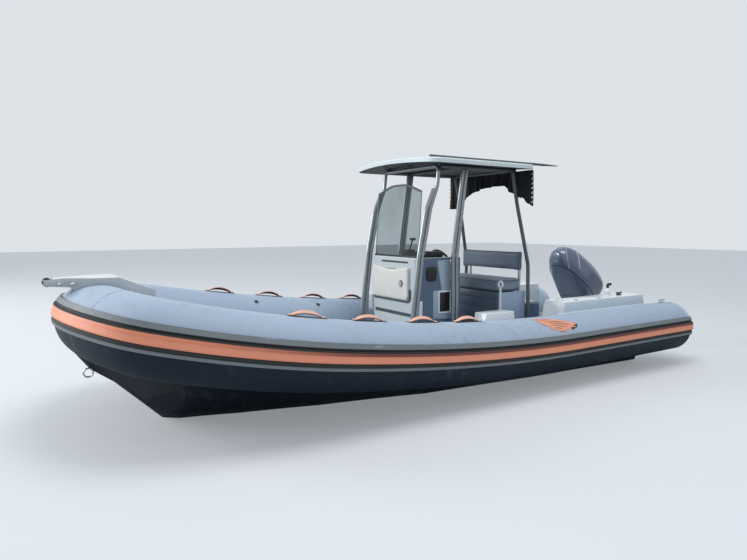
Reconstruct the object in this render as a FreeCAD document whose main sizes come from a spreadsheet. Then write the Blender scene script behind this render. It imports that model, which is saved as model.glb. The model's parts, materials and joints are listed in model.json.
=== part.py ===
"""Open rigid inflatable boat with a centre console, a hard top and one outboard engine.

X points to the bow, Y to port and Z up. The origin is on the centreline, at the waterline,
amidships. All lengths are in millimetres and all angles in degrees.
"""
import FreeCAD, Part
import math
import os

import Sketcher
from FreeCAD import Placement, Rotation, Vector

os.makedirs("parts", exist_ok=True)
doc = FreeCAD.newDocument("rib_boat")

# Driving dimensions: name, value
SIZES = [
    # Inflatable collar
    ("half_beam", 1425), ("tube_radius", 300), ("strake_proud", 30), ("collar_height", 434),
    ("stern_end", -3150), ("cap_length", 100), ("cap_round", 50), ("strake_end", -3100),
    ("sheer_start", -975), ("sheer_radius", 19989), ("sheer_angle", 8), ("shoulder_radius", 3561),
    ("shoulder_angle", 20.5), ("shoulder_lift", 11), ("corner_radius", 363), ("corner_heading", 57.4),
    ("seat_gap", 0.3),
    # Hull and sole
    ("transom_face", -2620), ("transom_wall", 60), ("keel_depth", 300), ("sole_level", 300),
    ("sole_thickness", 20), ("well_half", 900), ("well_taper", 500), ("well_shoulder", 1500),
    ("shoulder_half", 756), ("well_front", 2150), ("well_end_half", 558), ("foredeck_rise", 340),
    ("deck_overlap", 200), ("stem_head", 3120), ("locker_wall", 60), ("locker_front", 2900),
    ("locker_half", 300), ("locker_depth", 260), ("lid_thickness", 24), ("lid_overlap", 30),
    ("lid_corner", 60), ("lid_round", 8), ("hinge_radius", 7), ("hinge_space", 1),
    # Bow fittings, set out from the bow tube's centre
    ("nose_behind", 429), ("nose_ahead", 371), ("nose_rise", 353), ("nose_foot", 73),
    ("nose_slope", 270), ("nose_half", 235), ("nose_heel", 115), ("nose_bevel", 130),
    ("nose_tip_drop", 12), ("nose_lip", 58),
    ("nose_lip_back", 190), ("nose_chin", 330), ("nose_chin_drop", 75), ("stub_first", 106),
    ("stub_second", 201), ("stub_flare", 30), ("nose_waist", 188), ("cheek_half", 70),
    ("cheek_length", 160), ("cheek_wall", 16), ("roller_radius", 34), ("roller_half", 48),
    ("roller_drop", 32), ("roller_space", 8), ("pin_radius", 7), ("pin_gap", 0.4), ("stub_radius", 10),
    ("stub_reach", 26), ("stub_head", 14), ("stub_drop", 45), ("eye_x", 3497), ("eye_z", 482),
    ("eye_radius", 36), ("eye_wire", 7),
    # Console
    ("console_rear", -200), ("console_front", 422), ("console_half", 417), ("console_top", 1360),
    ("console_wall", 30), ("console_corner", 40), ("console_brow", 16), ("dash_top", -40),
    ("dash_foot", 1095), ("dash_run", 130), ("door_low", 905), ("door_high", 1255), ("door_left", 300),
    ("door_right", -380), ("door_rebate", 24), ("door_thickness", 34), ("door_seat", 0.5),
    ("latch_radius", 27), ("hinge_length", 90), ("vent_rear", 160), ("vent_front", 290),
    ("vent_low", 1110), ("vent_high", 1260), ("side_hatch_rear", -50), ("side_hatch_front", 130),
    ("side_hatch_low", 755), ("side_hatch_high", 1000), ("frame_width", 18), ("frame_proud", 12),
    ("screen_half", 400), ("screen_foot", 400), ("screen_lean", 45), ("screen_edge", 2050),
    ("screen_crown", 2135), ("screen_ridge", 140), ("screen_thickness", 8), ("rail_radius", 14),
    ("rail_stand", 33), ("rail_bend", 26), ("rail_head", 1330), ("rail_foot", 690), ("rail_ahead", -15),
    ("rail_behind", -120), ("bracket_low", 736), ("bracket_high", 908), ("bracket_rear", 368),
    ("bracket_front", 455), ("bracket_round", 18), ("door_corner", 30), ("door_edge", 12),
    ("latch_inset", 110), ("latch_height", 12), ("hinge_inset", 55), ("vent_corner", 35),
    # Wheel and controls
    ("wheel_x", -262), ("wheel_z", 1262), ("wheel_tilt", 28), ("wheel_radius", 185), ("wheel_rim", 14),
    ("wheel_hub", 38), ("hub_depth", 40), ("spoke_radius", 8), ("column_radius", 22),
    ("throttle_side", 250), ("throttle_lever", 150), ("throttle_ahead", 60), ("throttle_height", 60),
    ("panel_width", 520), ("panel_height", 150), ("panel_depth", 12),
    # Hard top
    ("leg_side", 490), ("leg_radius", 21), ("bar_radius", 18), ("leg_bend", 260), ("hoop_bend", 60),
    ("foot_radius", 60), ("foot_thickness", 9), ("aft_foot_radius", 44), ("rung_half", 15),
    ("rail_rear", -915), ("roof_rear", -1002), ("roof_front", 437), ("roof_half", 750),
    ("roof_low", 2320), ("roof_crown", 30), ("roof_bow", 80), ("roof_thickness", 50),
    ("roof_corner", 130), ("roof_edge", 18), ("pole_radius", 14), ("pole_side", 600),
    ("shade_thickness", 38), ("shade_side", 710), ("shade_gap", 3),
    # Helm seat
    ("seat_front", -690), ("seat_rear", -1100), ("seat_half", 500), ("seat_base_top", 938),
    ("cushion_top", 1088), ("backrest_low", 1172), ("backrest_high", 1405), ("backrest_thickness", 70),
    ("post_radius", 16), ("post_side", 420), ("cushion_corner", 50), ("cushion_edge", 30),
    ("backrest_edge", 18), ("ring_post_height", 700), ("ring_post_side", 60), ("ring_radius", 32),
    ("aft_box_length", 250), ("aft_box_half", 470), ("aft_box_height", 490), ("aft_box_space", 50),
    ("aft_box_edge", 30),
    # Stern
    ("side_box_inset", 110), ("side_box_width", 285), ("side_box_rise", 108), ("side_box_front", -1080),
    ("side_box_rear", -2740), ("side_box_rake", 150), ("box_vent", -2190), ("box_cleat", -2390),
    ("vent_radius", 50), ("vent_height", 110), ("step_inset", 195), ("step_width", 170),
    ("step_rise", 56), ("step_foot", 86), ("step_rear", -560), ("step_front", -70), ("handle_half", 22),
    ("stern_cleat", -2930), ("tilt_pin", 12), ("swivel_shaft", 18), ("pivot_x", -2690),
    ("pivot_z", 517), ("engine_tilt", 25), ("swivel_back", 120), ("leg_width", 130), ("leg_foot", 458),
    ("plate_drop", 800), ("propeller_drop", 1010), ("propeller_place", 420), ("propeller_radius", 195),
    ("propeller_pitch", 430), ("propeller_shaft", 14), ("skeg_drop", 1260), ("cowl_low", 110),
    ("clamp_side", 95), ("clamp_wall", 16), ("hub_radius", 34), ("hub_half", 92), ("swivel_radius", 38),
    ("pod_radius", 58), ("pod_length", 330), ("propeller_hub", 46), ("propeller_hub_length", 110),
    ("plate_half", 120),
]
sheet = doc.addObject("Spreadsheet::Sheet", "sizes")
for row, (alias, value) in enumerate(SIZES, start=1):
    sheet.set(f"A{row}", alias)
    sheet.set(f"B{row}", str(value))
    sheet.setAlias(f"B{row}", alias)
doc.recompute()


def size(alias):
    """The value of one driving dimension."""
    return float(getattr(sheet, alias))


PARTS = []


def keep(item, name):
    """Label a finished piece and list it as a sub-part."""
    item.Label = name
    PARTS.append(item)
    return item


def feature(name, shape):
    """A piece whose shape is worked out below from the driving dimensions."""
    item = doc.addObject("Part::Feature", name)
    item.Shape = shape
    return item


def bind(item, **formulas):
    """Tie properties of a piece to the driving dimensions."""
    for path, formula in formulas.items():
        item.setExpression(path.replace("__", "."), formula)
    return item


def body(name):
    item = doc.addObject("PartDesign::Body", name)
    item.Label = name
    return item


def sketch_on(part_body, name, role, offset="0"):
    """An empty sketch on one of the body's own origin planes, moved along its normal."""
    plane = next(entry for entry in part_body.Origin.OriginFeatures if entry.Role == role)
    sketch = part_body.newObject("Sketcher::SketchObject", name)
    sketch.AttachmentSupport = [(plane, "")]
    sketch.MapMode = "FlatFace"
    sketch.setExpression("AttachmentOffset.Base.z", offset)
    return sketch


def place(sketch, geometry, position, across, up):
    """Hold one point of a sketch at a distance across and up from the origin."""
    for kind, formula in (("DistanceX", across), ("DistanceY", up)):
        number = sketch.addConstraint(Sketcher.Constraint(kind, -1, 1, geometry, position, 1.0))
        sketch.setExpression(f"Constraints[{number}]", formula)


def polygon(sketch, corners):
    """A closed outline whose corners are pairs of formulas."""
    count = len(corners)
    first = sketch.GeometryCount
    ring = [Vector(9 * math.cos(math.tau * k / count), 9 * math.sin(math.tau * k / count), 0)
            for k in range(count)]
    for k in range(count):
        sketch.addGeometry(Part.LineSegment(ring[k], ring[(k + 1) % count]))
    for k in range(count):
        following = first + (k + 1) % count
        sketch.addConstraint(Sketcher.Constraint("Coincident", first + k, 2, following, 1))
    for k, (across, up) in enumerate(corners):
        place(sketch, first + k, 1, across, up)


def circle(sketch, across, up, radius):
    """A circle whose centre and radius are formulas."""
    number = sketch.addGeometry(Part.Circle(Vector(0, 0, 0), Vector(0, 0, 1), 5))
    place(sketch, number, 3, across, up)
    constraint = sketch.addConstraint(Sketcher.Constraint("Radius", number, 5))
    sketch.setExpression(f"Constraints[{constraint}]", radius)


def rectangle(low_across, high_across, low_up, high_up):
    return [(low_across, low_up), (high_across, low_up), (high_across, high_up), (low_across, high_up)]


def pad(part_body, sketch, length, both=False, reverse=False):
    item = part_body.newObject("PartDesign::Pad", sketch.Name + "_pad")
    item.Profile = sketch
    item.setExpression("Length", length)
    item.SideType = "Symmetric" if both else "One side"
    item.Reversed = reverse
    return item


def pocket(part_body, sketch, length, both=False, reverse=False):
    item = part_body.newObject("PartDesign::Pocket", sketch.Name + "_pocket")
    item.Profile = sketch
    item.setExpression("Length", length)
    item.SideType = "Symmetric" if both else "One side"
    item.Reversed = reverse
    return item


def round_edges(part_body, base, radius, chosen):
    """Fillet the edges of the last feature that a test picks."""
    doc.recompute()
    names = [f"Edge{k}" for k, edge in enumerate(base.Shape.Edges, start=1) if chosen(edge)]
    item = part_body.newObject("PartDesign::Fillet", base.Name + "_round")
    item.Base = (base, names)
    item.setExpression("Radius", radius)
    return item


def runs_along(edge, axis):
    """True for a straight edge parallel to the axis."""
    if not isinstance(edge.Curve, Part.Line):
        return False
    direction = edge.Curve.Direction
    return abs(abs(direction.dot(axis)) - 1) < 1e-6


def prism(name, role, corners, start, length, both=False):
    """A body with one padded outline."""
    part_body = body(name)
    sketch = sketch_on(part_body, name + "_outline", role, start)
    polygon(sketch, corners)
    pad(part_body, sketch, length, both)
    return part_body


# The collar's centreline
# The tube runs straight from the stern, lifts in a gentle vertical arc, rounds the shoulder in a
# plane that leans, and turns across the bow in one plane through two arcs.
TUBE_SIDE = size("half_beam") - size("tube_radius") - size("strake_proud")
PORT_START = Vector(size("stern_end") + size("cap_length"), TUBE_SIDE, size("collar_height"))
AHEAD = Vector(1, 0, 0)
TO_PORT = Vector(0, 1, 0)


def line_step(start, tangent, length):
    return {"kind": "line", "start": start, "tangent": tangent, "reach": tangent * length}


def arc_step(start, tangent, side, radius, angle):
    """A turn from the tangent towards a side, both unit vectors at right angles."""
    return {"kind": "arc", "start": start, "tangent": tangent, "centre": start + side * radius,
            "axis": tangent.cross(side), "angle": angle}


def end_of(step):
    """The point and the direction in which a step ends."""
    if step["kind"] == "line":
        return step["start"] + step["reach"], step["tangent"]
    turn = Rotation(step["axis"], step["angle"])
    return step["centre"] + turn.multVec(step["start"] - step["centre"]), turn.multVec(step["tangent"])


def collar_steps():
    """The port half of the collar: its side steps, then the corner and the half of the front."""
    straight = line_step(PORT_START, AHEAD, size("sheer_start") - PORT_START.x)
    point, tangent = end_of(straight)
    lift = arc_step(point, tangent, Vector(0, 0, 1), size("sheer_radius"), size("sheer_angle"))
    point, tangent = end_of(lift)
    lean = math.radians(size("shoulder_lift"))
    above = Vector(-tangent.z, 0, tangent.x)
    inward = Vector(0, -1, 0) * math.cos(lean) + above * math.sin(lean)
    shoulder = arc_step(point, tangent, inward, size("shoulder_radius"), size("shoulder_angle"))
    point, tangent = end_of(shoulder)
    forward = Vector(tangent.x, 0, tangent.z)
    forward.normalize()
    heading = math.degrees(math.atan2(-tangent.y, tangent.dot(forward)))
    corner = arc_step(point, tangent, turned_side(forward, heading), size("corner_radius"),
                      size("corner_heading") - heading)
    point, tangent = end_of(corner)
    front_radius = point.y / math.cos(math.radians(size("corner_heading")))
    front = arc_step(point, tangent, turned_side(forward, size("corner_heading")), front_radius,
                     90 - size("corner_heading"))
    return [straight, lift, shoulder], [corner, front]


def turned_side(forward, heading):
    """The inward direction in the bow's plane for a heading away from straight ahead."""
    angle = math.radians(heading)
    return Vector(0, -1, 0) * math.cos(angle) - forward * math.sin(angle)


def collar_at(ahead):
    """The port centreline's point and direction at one place along the boat."""
    for step in SIDE_STEPS + BOW_STEPS:
        if end_of(step)[0].x < ahead:
            continue
        if step["kind"] == "line":
            return step["start"] + step["tangent"] * (ahead - step["start"].x), step["tangent"]
        low, high = 0, step["angle"]
        for halving in range(40):
            middle = (low + high) / 2
            point, tangent = end_of(dict(step, angle=middle))
            low, high = (middle, high) if point.x < ahead else (low, middle)
        return point, tangent


def sweep(profile, steps):
    """Carry a flat face along the steps and return one solid."""
    pieces = []
    for step in steps:
        if step["kind"] == "line":
            pieces.append(profile.extrude(step["reach"]))
            profile = profile.translated(step["reach"])
        else:
            pieces.append(profile.revolve(step["centre"], step["axis"], step["angle"]))
            profile = profile.rotated(step["centre"], step["axis"], step["angle"])
    whole = pieces[0]
    if len(pieces) > 1:
        whole = whole.multiFuse(pieces[1:])
    return whole.Solids[0] if len(whole.Solids) == 1 else whole


def carried(profile, steps):
    """The flat face at the end of the steps."""
    for step in steps:
        if step["kind"] == "line":
            profile = profile.translated(step["reach"])
        else:
            profile = profile.rotated(step["centre"], step["axis"], step["angle"])
    return profile


def disc(centre, normal, radius):
    return Part.Face(Part.Wire(Part.Edge(Part.Circle(centre, normal, radius))))


def across(shape):
    """The mirror image on the other side of the centreline."""
    return shape.mirror(Vector(0, 0, 0), Vector(0, 1, 0))


def both_sides(shape):
    return Part.makeCompound([shape, across(shape)])


SIDE_STEPS, BOW_STEPS = collar_steps()
BOW_TIP = end_of(BOW_STEPS[-1])[0]


def collar_solids(radius):
    """The port side tube and the bow tube for one radius."""
    profile = disc(PORT_START, AHEAD, radius)
    side = sweep(profile, SIDE_STEPS)
    half = sweep(carried(profile, SIDE_STEPS), BOW_STEPS)
    bow = half.fuse(across(half)).removeSplitter()
    return side, bow.Solids[0]


# Collar
def make_collar():
    side, bow = collar_solids(size("tube_radius"))
    keep(feature("tube_port", side), "tube_port")
    keep(feature("tube_starboard", across(side)), "tube_starboard")
    keep(feature("tube_bow", bow), "tube_bow")
    # The stern caps are flat with a rounded rim.
    cap = Part.makeCylinder(size("tube_radius"), size("cap_length"),
                            Vector(size("stern_end"), TUBE_SIDE, size("collar_height")), AHEAD)
    rim = [edge for edge in cap.Edges if edge.BoundBox.XMax < size("stern_end") + 1]
    cap = cap.makeFillet(size("cap_round"), rim)
    keep(feature("stern_caps", both_sides(cap)), "stern_caps")


# Rubbing strake: a row is a distance round the tube from its equator and a thickness over the tube
STRAKE_BASE = [(150, 3), (143, 20), (101, 25), (97, 8), (84, 6), (-18, 6), (-42, 8), (-45, 23), (-68, 21),
               (-74, 3)]
STRAKE_BAND = [(80, 6.3), (77, 24), (68, 30), (0, 30), (-9, 27), (-14, 6.3)]


def around_tube(distance, thickness):
    """A point of the strake's section at the strake's stern end."""
    angle = distance / size("tube_radius")
    reach = size("tube_radius") + thickness
    return Vector(size("strake_end"), TUBE_SIDE + reach * math.cos(angle),
                  size("collar_height") + reach * math.sin(angle))


def strake_face(rows, back):
    """The strake's section: straight outer faces and a back that follows the tube."""
    outer = [around_tube(distance, thickness) for distance, thickness in rows]
    low, middle, high = rows[-1][0], (rows[-1][0] + rows[0][0]) / 2, rows[0][0]
    inner = [around_tube(distance, back) for distance in (low, middle, high)]
    edges = [Part.LineSegment(a, b).toShape() for a, b in zip(outer, outer[1:])]
    if (outer[-1] - inner[0]).Length > 1e-6:
        edges.append(Part.LineSegment(outer[-1], inner[0]).toShape())
    edges.append(Part.Arc(*inner).toShape())
    if (inner[2] - outer[0]).Length > 1e-6:
        edges.append(Part.LineSegment(inner[2], outer[0]).toShape())
    return Part.Face(Part.Wire(Part.__sortEdges__(edges)))


def make_strake():
    tail = line_step(Vector(size("strake_end"), TUBE_SIDE, size("collar_height")), AHEAD,
                     PORT_START.x - size("strake_end"))
    steps = [tail] + SIDE_STEPS + BOW_STEPS
    band_back = STRAKE_BAND[0][1]
    for name, rows, back in (("strake_base", STRAKE_BASE, size("seat_gap")),
                             ("strake_band", STRAKE_BAND, band_back)):
        half = sweep(strake_face(rows, back), steps)
        keep(feature(name, half.fuse(across(half)).Solids[0]), name)


# Hull stations under the side tubes: a row is the place, the keel's height and the chine's side and
# height. The sheer there lies at the middle of the tube.
SIDE_STATIONS = [
    (size("transom_face"), -size("keel_depth"), 960, 20),
    (-900, -size("keel_depth"), 970, 60),
    (500, -size("keel_depth"), 940, 115),
    (1600, -275, 800, 225),
    (2300, -205, 660, 325),
    (2800, -120, 430, 365),
    (3069, 148, 40, 190),
]
# Stem stations: a row is the place ahead of the bow tube's centre, the keel's height, the chine's side
# and height, the sheer's side and how far it lies below the bow tube's centre
STEM_STATIONS = [
    (-119, 377, 60, 430, 560, 47),
    (61, 510, 40, 560, 290, 77),
    (221, 728, 12, 735, 60, 162),
]


def hull_stations():
    """Each station's place and its keel, chine and sheer points."""
    for ahead, keel, chine_side, chine in SIDE_STATIONS:
        centre = collar_at(ahead)[0]
        yield ahead, [(0, keel), (chine_side, chine), (centre.y, centre.z)]
    for ahead, keel, chine_side, chine, sheer_side, below in STEM_STATIONS:
        yield BOW_TIP.x + ahead, [(0, keel), (chine_side, chine), (sheer_side, BOW_TIP.z - below)]


def hull_loft():
    sections = []
    for ahead, half in hull_stations():
        ring = half + [(-side, height) for side, height in reversed(half[1:])]
        sections.append(Part.makePolygon([Vector(ahead, side, height) for side, height in ring + ring[:1]]))
    return Part.makeLoft(sections, True, True)


def well_outline(inset, level):
    """The cockpit's outline, drawn in by an inset."""
    half = [
        (size("transom_face") + size("transom_wall") + inset, size("well_half") - inset),
        (size("well_taper"), size("well_half") - inset),
        (size("well_shoulder"), size("shoulder_half") - inset),
        (size("well_front") - inset, size("well_end_half") - inset),
    ]
    ring = half + [(ahead, -side) for ahead, side in reversed(half)]
    return Part.Face(Part.makePolygon([Vector(ahead, side, level) for ahead, side in ring + ring[:1]]))


def make_hull():
    side, bow = collar_solids(size("tube_radius") + size("seat_gap"))
    collar = side.multiFuse([across(side), bow])
    floor = size("sole_level") - size("sole_thickness")
    headroom = 2 * size("half_beam")
    well = well_outline(0, floor).extrude(Vector(0, 0, headroom))
    locker_rear = size("well_front") + size("locker_wall")
    locker = Part.makeBox(size("locker_front") - locker_rear, 2 * size("locker_half"), headroom,
                          Vector(locker_rear, -size("locker_half"), foredeck_level() - size("locker_depth")))
    deck_rear = size("well_front") - size("deck_overlap")
    above_deck = Part.makeBox(size("stem_head") - deck_rear, 2 * size("half_beam"), headroom,
                              Vector(deck_rear, -size("half_beam"), foredeck_level()))
    hull = hull_loft().cut(collar).cut(well).cut(locker).cut(above_deck)
    hull = max(hull.Solids, key=lambda solid: solid.Volume)
    keep(feature("hull", hull), "hull")
    sole = well_outline(1, floor).extrude(Vector(0, 0, size("sole_thickness"))).cut(collar)
    sole = max(sole.Solids, key=lambda solid: solid.Volume)
    keep(feature("sole", sole), "sole")
    return collar


def foredeck_level():
    return size("sole_level") + size("foredeck_rise")


# Small tools for pieces worked out in code
def unit(vector):
    copy = Vector(vector)
    copy.normalize()
    return copy


def rounded_steps(points, bends):
    """Straight runs through the corner points, joined by one arc at each corner."""
    steps = []
    start = points[0]
    for before, corner, after, bend in zip(points, points[1:], points[2:], bends):
        into, out = unit(corner - before), unit(after - corner)
        angle = into.getAngle(out)
        setback = bend * math.tan(angle / 2)
        steps.append(line_step(start, into, (corner - into * setback - start).Length))
        side = unit(out - into * out.dot(into))
        steps.append(arc_step(corner - into * setback, into, side, bend, math.degrees(angle)))
        start = corner + out * setback
    steps.append(line_step(start, unit(points[-1] - start), (points[-1] - start).Length))
    return steps


def tube_along(points, radius, bend, last_bend=None):
    """A round tube through corner points, bent to one radius and perhaps another at its last corner."""
    bends = [bend] * (len(points) - 3) + [last_bend or bend]
    steps = rounded_steps(points, bends)
    return sweep(disc(points[0], steps[0]["tangent"], radius), steps)


def side_slab(corners, from_side, to_side):
    """A profile in the X-Z plane, stretched from one side to another."""
    ring = [Vector(ahead, from_side, up) for ahead, up in corners]
    return Part.Face(Part.makePolygon(ring + ring[:1])).extrude(Vector(0, to_side - from_side, 0))


def plan_slab(corners, low, high):
    """A profile in the X-Y plane, stretched from one height to another."""
    ring = [Vector(ahead, side, low) for ahead, side in corners]
    return Part.Face(Part.makePolygon(ring + ring[:1])).extrude(Vector(0, 0, high - low))


def fused(shapes):
    return shapes[0].multiFuse(shapes[1:]).removeSplitter()


# Bow fittings
def make_bow(collar):
    rear, tip = BOW_TIP.x - size("nose_behind"), BOW_TIP.x + size("nose_ahead")
    top, foot = BOW_TIP.z + size("nose_rise"), BOW_TIP.z + size("nose_foot")
    cheeks = tip - size("cheek_length")
    chin = tip - size("nose_chin")
    side = [(rear, foot), (rear, top - size("nose_heel")), (rear + size("nose_slope"), top),
            (tip - size("nose_bevel"), top), (tip, top - size("nose_tip_drop")),
            (tip, top - size("nose_lip")), (tip - size("nose_lip_back"), top - size("nose_chin_drop")),
            (chin, foot)]
    plan = [(rear, size("nose_half")), (chin, size("nose_waist")), (cheeks, size("cheek_half")),
            (tip, size("cheek_half"))]
    plan = plan + [(ahead, -across_y) for ahead, across_y in reversed(plan)]
    nose = side_slab(side, -size("nose_half"), size("nose_half")).common(plan_slab(plan, foot, top))
    axis = roller_axis()
    slot_half = size("cheek_half") - size("cheek_wall")
    slot = Part.makeBox(size("cheek_length"), 2 * slot_half, size("nose_rise"),
                        Vector(axis.x - size("roller_radius") - size("roller_space"), -slot_half,
                               axis.z - size("nose_rise") / 2))
    pin = Part.makeCylinder(size("pin_radius"), 2 * size("cheek_half"),
                            axis - Vector(0, size("cheek_half"), 0), TO_PORT)
    nose = nose.cut(collar).cut(slot).fuse(pin)
    nose = max(nose.Solids, key=lambda solid: solid.Volume)
    keep(feature("bow_nose", nose), "bow_nose")
    # Two round-headed mooring stubs stand out of each side of the nose.
    stubs = []
    for ahead, half in ((tip - size("stub_first"), size("cheek_half")),
                        (tip - size("stub_second"), size("cheek_half") + size("stub_flare"))):
        start = Vector(ahead, half - size("stub_reach"), top - size("stub_drop"))
        stub = Part.makeCylinder(size("stub_radius"), 2 * size("stub_reach"), start, Vector(0, 1, 0))
        head = Part.makeSphere(size("stub_head"), start + Vector(0, 2 * size("stub_reach"), 0))
        stub = stub.fuse(head).cut(nose)
        stubs.append(max(stub.Solids, key=lambda solid: solid.CenterOfMass.y))
    stubs = stubs + [across(stub) for stub in stubs]
    keep(feature("mooring_pins", Part.makeCompound(stubs)), "mooring_pins")

    roller = body("anchor_roller")
    sketch = sketch_on(roller, "roller_profile", "XZ_Plane")
    bore = "sizes.pin_radius+sizes.pin_gap"
    polygon(sketch, [("0", bore), ("0", "sizes.roller_radius*0.55"),
                     ("sizes.roller_half*0.75", "sizes.roller_radius"),
                     ("sizes.roller_half", "sizes.roller_radius"), ("sizes.roller_half", bore)])
    turned = roller.newObject("PartDesign::Revolution", "roller_turned")
    turned.Profile = sketch
    turned.ReferenceAxis = (sketch, ["H_Axis"])
    mirrored = roller.newObject("PartDesign::Mirrored", "roller_mirrored")
    mirrored.Originals = [turned]
    mirrored.MirrorPlane = (sketch, ["V_Axis"])
    roller.Tip = mirrored
    roller.Placement = Placement(roller_axis(), Rotation(Vector(0, 0, 1), 90))
    keep(roller, "anchor_roller")


def roller_axis():
    """The bow roller's axle, which lies just inside the nose's tip."""
    return Vector(BOW_TIP.x + size("nose_ahead") - size("roller_radius") + 6, 0,
                  BOW_TIP.z + size("nose_rise") - size("roller_drop"))


def cleat(seat, length, height):
    """A horn cleat whose base stands at one point."""
    base = Part.makeBox(length * 0.6, 34, 8, seat + Vector(-length * 0.3, -17, 0))
    posts = [Part.makeCylinder(8, height - 4, seat + Vector(ahead, 0, 4))
             for ahead in (-length * 0.16, length * 0.16)]
    horn = Part.makeCylinder(10, length, seat + Vector(-length / 2, 0, height), AHEAD)
    horn = horn.makeFillet(7, [edge for edge in horn.Edges if not runs_along(edge, AHEAD)])
    return fused([base, horn] + posts)


def make_towing_eye(hull):
    seat = Vector(size("eye_x"), 0, size("eye_z"))
    ring = Part.makeTorus(size("eye_radius"), size("eye_wire"), seat, Vector(0, 1, 0))
    ring = ring.cut(hull)
    keep(feature("towing_eye", max(ring.Solids, key=lambda solid: solid.Volume)), "towing_eye")


def make_locker_lid():
    lid = body("locker_lid")
    sketch = sketch_on(lid, "lid_outline", "XY_Plane", "sizes.sole_level+sizes.foredeck_rise+sizes.seat_gap")
    rear = "sizes.well_front+sizes.locker_wall-sizes.lid_overlap"
    polygon(sketch, rectangle(rear, "sizes.locker_front+sizes.lid_overlap",
                              "-sizes.locker_half-sizes.lid_overlap", "sizes.locker_half+sizes.lid_overlap"))
    plate = pad(lid, sketch, "sizes.lid_thickness")
    rounded = round_edges(lid, plate, "sizes.lid_corner", lambda edge: runs_along(edge, Vector(0, 0, 1)))
    round_edges(lid, rounded, "sizes.lid_round",
                lambda edge: edge.CenterOfMass.z > foredeck_level() + size("lid_thickness"))
    doc.recompute()
    for name, side in (("port", "140"), ("starboard", "-140-sizes.hinge_length")):
        barrel = sketch_on(lid, f"lid_hinge_{name}", "XZ_Plane", f"-({side})")
        ahead = "sizes.locker_front+sizes.lid_overlap+sizes.hinge_radius+sizes.hinge_space"
        deck = "sizes.sole_level+sizes.foredeck_rise+sizes.seat_gap"
        circle(barrel, ahead, f"{deck}+sizes.hinge_radius", "sizes.hinge_radius")
        pad(lid, barrel, "sizes.hinge_length")
        doc.recompute()
        leaf = sketch_on(lid, f"lid_leaf_{name}", "XZ_Plane", f"-({side})")
        polygon(leaf, rectangle("sizes.locker_front", ahead, f"{deck}+2", f"{deck}+6"))
        pad(lid, leaf, "sizes.hinge_length")
        doc.recompute()
    keep(lid, "locker_lid")


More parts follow.
